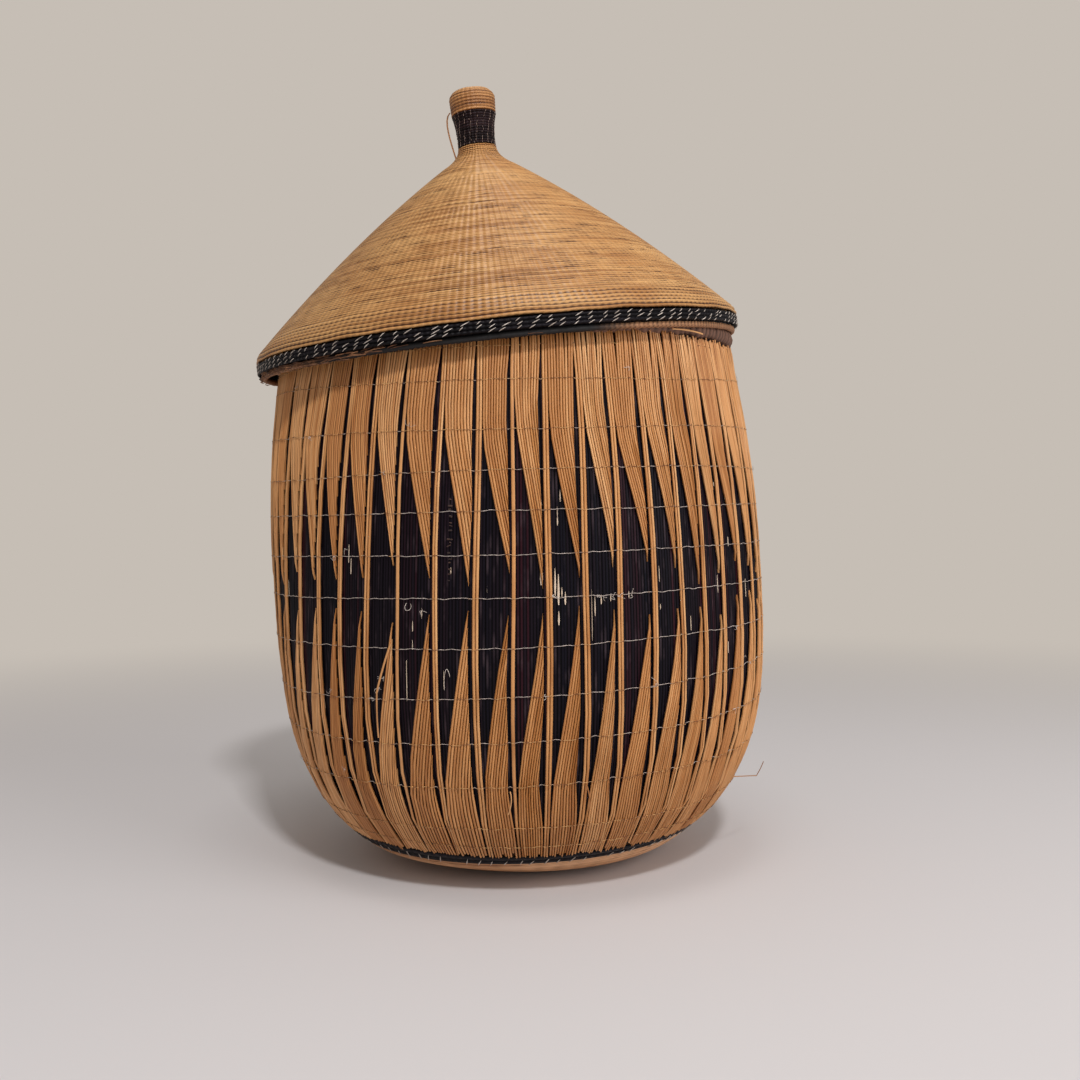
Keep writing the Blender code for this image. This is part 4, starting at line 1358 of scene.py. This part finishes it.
# %% Knob
WAIST_FOOT = NECK_TOP + 0.1 * MM
WAIST_HEIGHT = 16.3 * MM
WAIST_RADIUS = 9.7 * MM
WAIST_FLARE = 1.8 * MM
WAIST_GROOVE = 0.4 * MM
WAIST_ROWS = 13
WAIST_STITCHES = 19
WAIST_LEAN = 0.02
WAIST_SPREAD = 0.06
FLECK_WIDTHS = np.array((0.1, 0.26, 0.2, 0.1)) * MM
FLECK_THICK = 0.2 * MM
CAP_FOOT = WAIST_FOOT + WAIST_HEIGHT
CAP_HEIGHT = 12 * MM
CAP_RADIUS = 11.5 * MM
CAP_FLARE = 0.6 * MM
CAP_GROOVE = 0.35 * MM
CAP_HOLLOW = 0.9 * MM
HOLLOW_BORDER = (0.1, 0.45)
CAP_ROWS = 8
CAP_TOP_ROWS = 5
CAP_ROUNDING = 3 * MM
CAP_ROUNDING_SHARE = 0.35

# %% Waist and cap of the knob


def close_ends(mesh):
    bm = bmesh.new()
    bm.from_mesh(mesh)
    bmesh.ops.holes_fill(bm, edges=[edge for edge in bm.edges if edge.is_boundary], sides=0)
    bmesh.ops.recalc_face_normals(bm, faces=bm.faces)
    bm.to_mesh(mesh)
    bm.free()
    mesh.shade_smooth()
    return mesh


def waist_place(row, crest):
    share = wound(row, WAIST_ROWS)
    radius = WAIST_RADIUS + WAIST_FLARE * share**3 - WAIST_GROOVE * (1 - crest)
    return radius, WAIST_FOOT + WAIST_HEIGHT * share


def cap_place(row, crest):
    """Up the side, over the rim, and inward to the middle of the hollow."""
    side = wound(row, CAP_ROWS)
    inward = wound(row - CAP_ROWS, CAP_TOP_ROWS)
    rounded = CAP_ROUNDING * np.clip(1 - (1 - side) / CAP_ROUNDING_SHARE, 0, None) ** 2
    radius = (CAP_RADIUS + CAP_FLARE * side - rounded) * (1 - inward)
    hollow = CAP_HOLLOW * smooth_step(inward, *HOLLOW_BORDER)
    groove = CAP_GROOVE * (1 - crest)
    height = CAP_FOOT + CAP_HEIGHT * side - hollow - groove * (inward > 0)
    return radius - groove * (inward == 0), height


def on_waist(row, azimuth):
    share = row / WAIST_ROWS
    radius = WAIST_RADIUS + STITCH_LIFT + WAIST_FLARE * share**3
    return round_axis(radius, azimuth, WAIST_FOOT + WAIST_HEIGHT * share)


waist = coil_mesh("knob_waist_coils", WAIST_ROWS, waist_place, on_lid, per_row=4, steps=72, warps=30)
add_piece("knob_waist_coils", close_ends(waist), waist_material, "lid", ["knob_waist"])
flecks = stitch_paths(WAIST_ROWS, WAIST_STITCHES, WAIST_LEAN, WAIST_SPREAD, on_waist)
fleck_mesh = rods_on_lid("knob_waist_stitches", flecks, FLECK_WIDTHS, FLECK_THICK)
add_piece("knob_waist_stitches", fleck_mesh, worn_stitch_material, "lid")
cap_rows = CAP_ROWS + CAP_TOP_ROWS + 1
cap = coil_mesh("knob_cap_coils", cap_rows, cap_place, on_lid, per_row=4, steps=72, warps=30)
add_piece("knob_cap_coils", close_ends(cap), knob_material, "lid", ["knob_cap"])

# %% [markdown]
# The basket's own coils show at the foot and, with the lid off, inside. The foot starts at a single
# point in the middle of its underside and winds outward.

# %% Foot
FOOT_PITCH = 2.6 * MM
FOOT_GROOVE = 0.35 * MM
FOOT_WALL = 5 * MM
# Above the foot of the black band the coil steps back by this, so that it lies behind the band.
STEP_BACK = 1.6 * MM
STEP_HEIGHT = 2 * MM
UNDER_KNOTS = 60

under_heights = np.linspace(0, BAND_TOP, UNDER_KNOTS)
under_lengths = lengths_along(outer_radius(under_heights), under_heights)
foot_length = FOOT_RADIUS + under_lengths[-1]
foot_rows = round(foot_length / FOOT_PITCH)


def foot_place(row, crest):
    along = np.clip(row - 1, 0, None) * foot_length / foot_rows
    groove = FOOT_GROOVE * (1 - crest)
    height = np.interp(along - FOOT_RADIUS, under_lengths, under_heights)
    step = STEP_BACK * smooth_step(height, BAND_FOOT, BAND_FOOT + STEP_HEIGHT)
    radius, level = skin(height, groove + step)
    flat = along < FOOT_RADIUS
    return np.where(flat, along, radius), np.where(flat, groove, level)


foot_mesh = coil_mesh("foot_coils", foot_rows, foot_place, as_woven, per_row=4, steps=120, warps=60)
foot = add_piece("foot_coils", foot_mesh, coil_material, "basket", ["foot_coil"])
thicken(foot, FOOT_WALL)

# %% Lining
LINING_ROWS = 76
LINING_INSET = 6.4 * MM
LINING_GROOVE = 0.6 * MM
LINING_WALL = 3.2 * MM
LINING_KNOTS = 200


def lining_place(row, crest):
    heights = spaced_heights(FOOT_END, WALL_HEIGHT, LINING_KNOTS)
    height = np.interp(wound(row, LINING_ROWS), np.linspace(0, 1, LINING_KNOTS), heights)
    return skin(height, LINING_INSET - LINING_GROOVE * (1 - crest))


lining_mesh = coil_mesh("wall_coils", LINING_ROWS, lining_place, as_woven, per_row=3, steps=140, warps=120)
lining = add_piece("wall_coils", lining_mesh, coil_material, "basket", ["wall_coil"])
thicken(lining, LINING_WALL, 1)

# %% Black band at the foot
BASE_BAND = BAND_TOP - BAND_FOOT
BASE_ROWS = 2
BASE_GROOVE = 0.8 * MM
BASE_WALL = 1.2 * MM
BASE_STITCHES = 100
BASE_LEAN = math.radians(1.3)
# The share of the band's height that a stitch covers, from the band's foot.
BASE_REACH = 0.65
BASE_WIDTHS = np.array((0.25, 0.5, 0.45, 0.2)) * MM
BASE_THICK = 0.35 * MM
BASE_LIFT = 0.1 * MM


def base_place(row, crest):
    return skin(BAND_FOOT + BASE_BAND * wound(row, BASE_ROWS), BASE_GROOVE * (1 - crest))


def on_base_band(row, azimuth):
    return on_wall(azimuth, BAND_FOOT + BASE_BAND * row * BASE_REACH, -BASE_LIFT)


base_mesh = coil_mesh("base_black_coils", BASE_ROWS, base_place, as_woven, per_row=6, steps=240, warps=160)
band = add_piece(
    "base_black_coils", base_mesh, black_coil_material, "basket", ["base_band"]
)
thicken(band, BASE_WALL)
stitches = stitch_paths(1, BASE_STITCHES, BASE_LEAN, 0, on_base_band)
outward = unit(stitches - (0, 0, BELLY_HEIGHT / 2))
stitch_mesh = lay_rods("base_band_stitches", stitches, outward, BASE_WIDTHS, BASE_THICK)
add_piece("base_band_stitches", stitch_mesh, stitch_material, "basket")

# %% [markdown]
# A used basket isn't tidy. A strip has slipped aside and broken, a straw sticks out at the lower
# right, thread ends curl from the ties, and brown stubble is left where a strip came off. Each is a
# rod through a few seen points: an angle in degrees, a height and a lift in millimetres. Its width
# comes first.

# %% Loose straws and fibres
STRAND_STATIONS = 9
STRAND_SIDES = 4
STRAND_FLATNESS = 0.8
STRAWS = (
    (1.0, ((-24.4, 120.4, 0.2), (-26, 111, 0.9), (-27.6, 100, 0.8))),
    (0.9, ((-27.6, 100.5, 0.6), (-27.9, 90, 0.5), (-28, 80, 0.1))),
    (0.6, ((68, 39.6, 0.2), (74, 39.8, 5), (80, 40, 11))),
    (0.5, ((80, 39.8, 11), (80, 43, 11.2), (79.6, 46, 10.8))),
    (0.9, ((39.5, 254, 3.4), (45, 254.2, 3.7), (51, 253, 3.2))),
    (0.5, ((-0.8, 56, 0.3), (-0.2, 52, 1.5), (-1.4, 45, 0.4))),
    (0.5, ((14.6, 56, 0.3), (15.4, 51, 1.4), (15.6, 45, 0.4))),
)
SEEN_FIBRES = (
    (0.22, (
        (-20.9, 137.8, 0.3), (-21.9, 134.6, 0.9), (-20.4, 133.2, 1.2),
        (-19.2, 135.4, 1.2), (-19.9, 137.6, 1),
    )),
    (0.22, ((-13.1, 101.5, 0), (-13.2, 112, 0.6), (-12.2, 112, 1), (-11.9, 107, 0.6))),
)
SEEN_TUFTS = (
    (-17.8, 134.4), (17.5, 138.4), (19.5, 138), (21, 138), (23.4, 138.4), (-35.8, 160.8),
    (-49.8, 212.8), (-40.6, 100), (-39.2, 62.8), (57, 102), (60, 97), (28.6, 97.6),
    (-26, 107), (-27, 102), (-29, 98), (8, 139),
)
LOOSE_TUFTS = 34
# Fibres in a tuft, their least and greatest width, and how far they spread in degrees and upward.
TUFT_FIBRES = 3
TUFT_WIDTH = (0.12, 0.22)
TUFT_TURN = 0.7
TUFT_RISE = 1.3
# The lift of a tuft's start and bend, and the least and greatest lift of its end.
TUFT_START = 0.1
TUFT_BEND = 0.8
TUFT_END = (0.2, 1)
STUBBLE_ANGLE = -12.3
STUBBLE_HEIGHTS = np.arange(147, 182, 2.3)
STUBBLE_WIDTH = (0.3, 0.9)
STUBBLE_LIFT = -0.9
# How far each end of a stubble lies beside the middle, in degrees, and how uneven the levels are.
STUBBLE_LEFT = (-0.6, -0.1)
STUBBLE_RIGHT = (0.1, 0.6)
STUBBLE_STRAY = 0.6
STUBBLE_SLANT = 0.4


def strand(points):
    """Stations along the smooth curve that its points pull into shape, as a Bezier curve's do."""
    share = np.linspace(0, 1, STRAND_STATIONS)[:, None]
    curve = np.repeat(np.array(points, float)[:, None], STRAND_STATIONS, axis=1)
    while len(curve) > 1:
        curve = curve[:-1] * (1 - share) + curve[1:] * share
    return curve[0]


def add_strands(name, strands, material):
    turn, height, lift = np.moveaxis(np.array([strand(points) for _, points in strands]), -1, 0)
    width = np.array([[width] for width, _ in strands]) * MM
    thick = width * STRAND_FLATNESS
    mesh = rods_on_wall(name, np.radians(turn), height * MM, -lift * MM, width, thick, STRAND_SIDES)
    add_piece(name, mesh, material, "basket")


add_strands("loose_straws", STRAWS, reed_material)
random_tufts = [
    (chance.uniform(-180, 180), chance.choice(THREAD_HEIGHTS[1:-1]) / MM) for _ in range(LOOSE_TUFTS)
]
fibres = list(SEEN_FIBRES)
for angle, level in list(SEEN_TUFTS) + random_tufts:
    for _ in range(TUFT_FIBRES):
        bend = (angle + chance.normal(0, TUFT_TURN), level + chance.normal(0, TUFT_RISE), TUFT_BEND)
        end = (angle + chance.normal(0, TUFT_TURN), level + chance.normal(0, TUFT_RISE))
        end = (*end, chance.uniform(*TUFT_END))
        fibres.append((chance.uniform(*TUFT_WIDTH), ((angle, level, TUFT_START), bend, end)))
add_strands("loose_fibres", fibres, stitch_material)
stubble = []
for level in STUBBLE_HEIGHTS + chance.normal(0, STUBBLE_STRAY, len(STUBBLE_HEIGHTS)):
    left = (STUBBLE_ANGLE + chance.uniform(*STUBBLE_LEFT), level, STUBBLE_LIFT)
    turn = STUBBLE_ANGLE + chance.uniform(*STUBBLE_RIGHT)
    width = chance.uniform(*STUBBLE_WIDTH)
    right = (turn, level + chance.normal(0, STUBBLE_SLANT), STUBBLE_LIFT)
    stubble.append((width, (left, right)))
add_strands("strip_stubble", stubble, rim_material)

# %% [markdown]
# On the lid one fibre has come loose beside the knob, and at the left the wrapping of the edge is
# worn to a fringe.

# %% Fibres of the lid
# The loose fibre's points, by radius and height in millimetres.
KNOB_FIBRE = ((12, 128.4), (15.4, 126), (14.4, 119), (13, 112), (11.4, 104.6))
KNOB_FIBRE_SIDE = math.radians(-86)
KNOB_FIBRE_WIDTH = 0.8 * MM
FRINGE = 160
FRINGE_SIDE = math.radians(-55)
FRINGE_SPREAD = math.radians(17)
FRINGE_LENGTH = np.radians((1.5, 5))
# In millimetres: a fibre's width, how far it lifts, the levels at which the fringe starts, and how
# far it rises or drops along a fibre.
FRINGE_WIDTH = (0.2, 0.45)
FRINGE_LIFT = 1.2
FRINGE_LEVEL = (-0.5, 2.5)
FRINGE_SLANT = 0.7

radius, height = strand(KNOB_FIBRE).T * MM
paths = [round_axis(radius, KNOB_FIBRE_SIDE, height)]
widths = [KNOB_FIBRE_WIDTH]
along = np.linspace(0, 1, STRAND_STATIONS)
for _ in range(FRINGE):
    start = FRINGE_SIDE + chance.normal(0, FRINGE_SPREAD)
    length = chance.uniform(*FRINGE_LENGTH)
    lift = chance.uniform(0, FRINGE_LIFT) * MM * np.sin(along * math.pi)
    level = chance.uniform(*FRINGE_LEVEL) * MM + chance.normal(0, FRINGE_SLANT) * MM * along
    paths.append(round_axis(edge_middle + edge_thick / 2 + lift, start + length * along, level))
    widths.append(chance.uniform(*FRINGE_WIDTH) * MM)
widths = np.array(widths)[:, None]
fibre_mesh = rods_on_lid("lid_fibres", np.array(paths), widths, widths, STRAND_SIDES)
paleness = np.append(1, chance.random(FRINGE))
set_values(fibre_mesh, "ridge", np.repeat(paleness, len(fibre_mesh.vertices) // len(paleness)))
add_piece("lid_fibres", fibre_mesh, edge_material, "lid")

# %% Size
low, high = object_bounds()
print("Grown by, in mm:", [round((a - b) / MM, 2) for a, b in zip(high - low, cad_high - cad_low)])
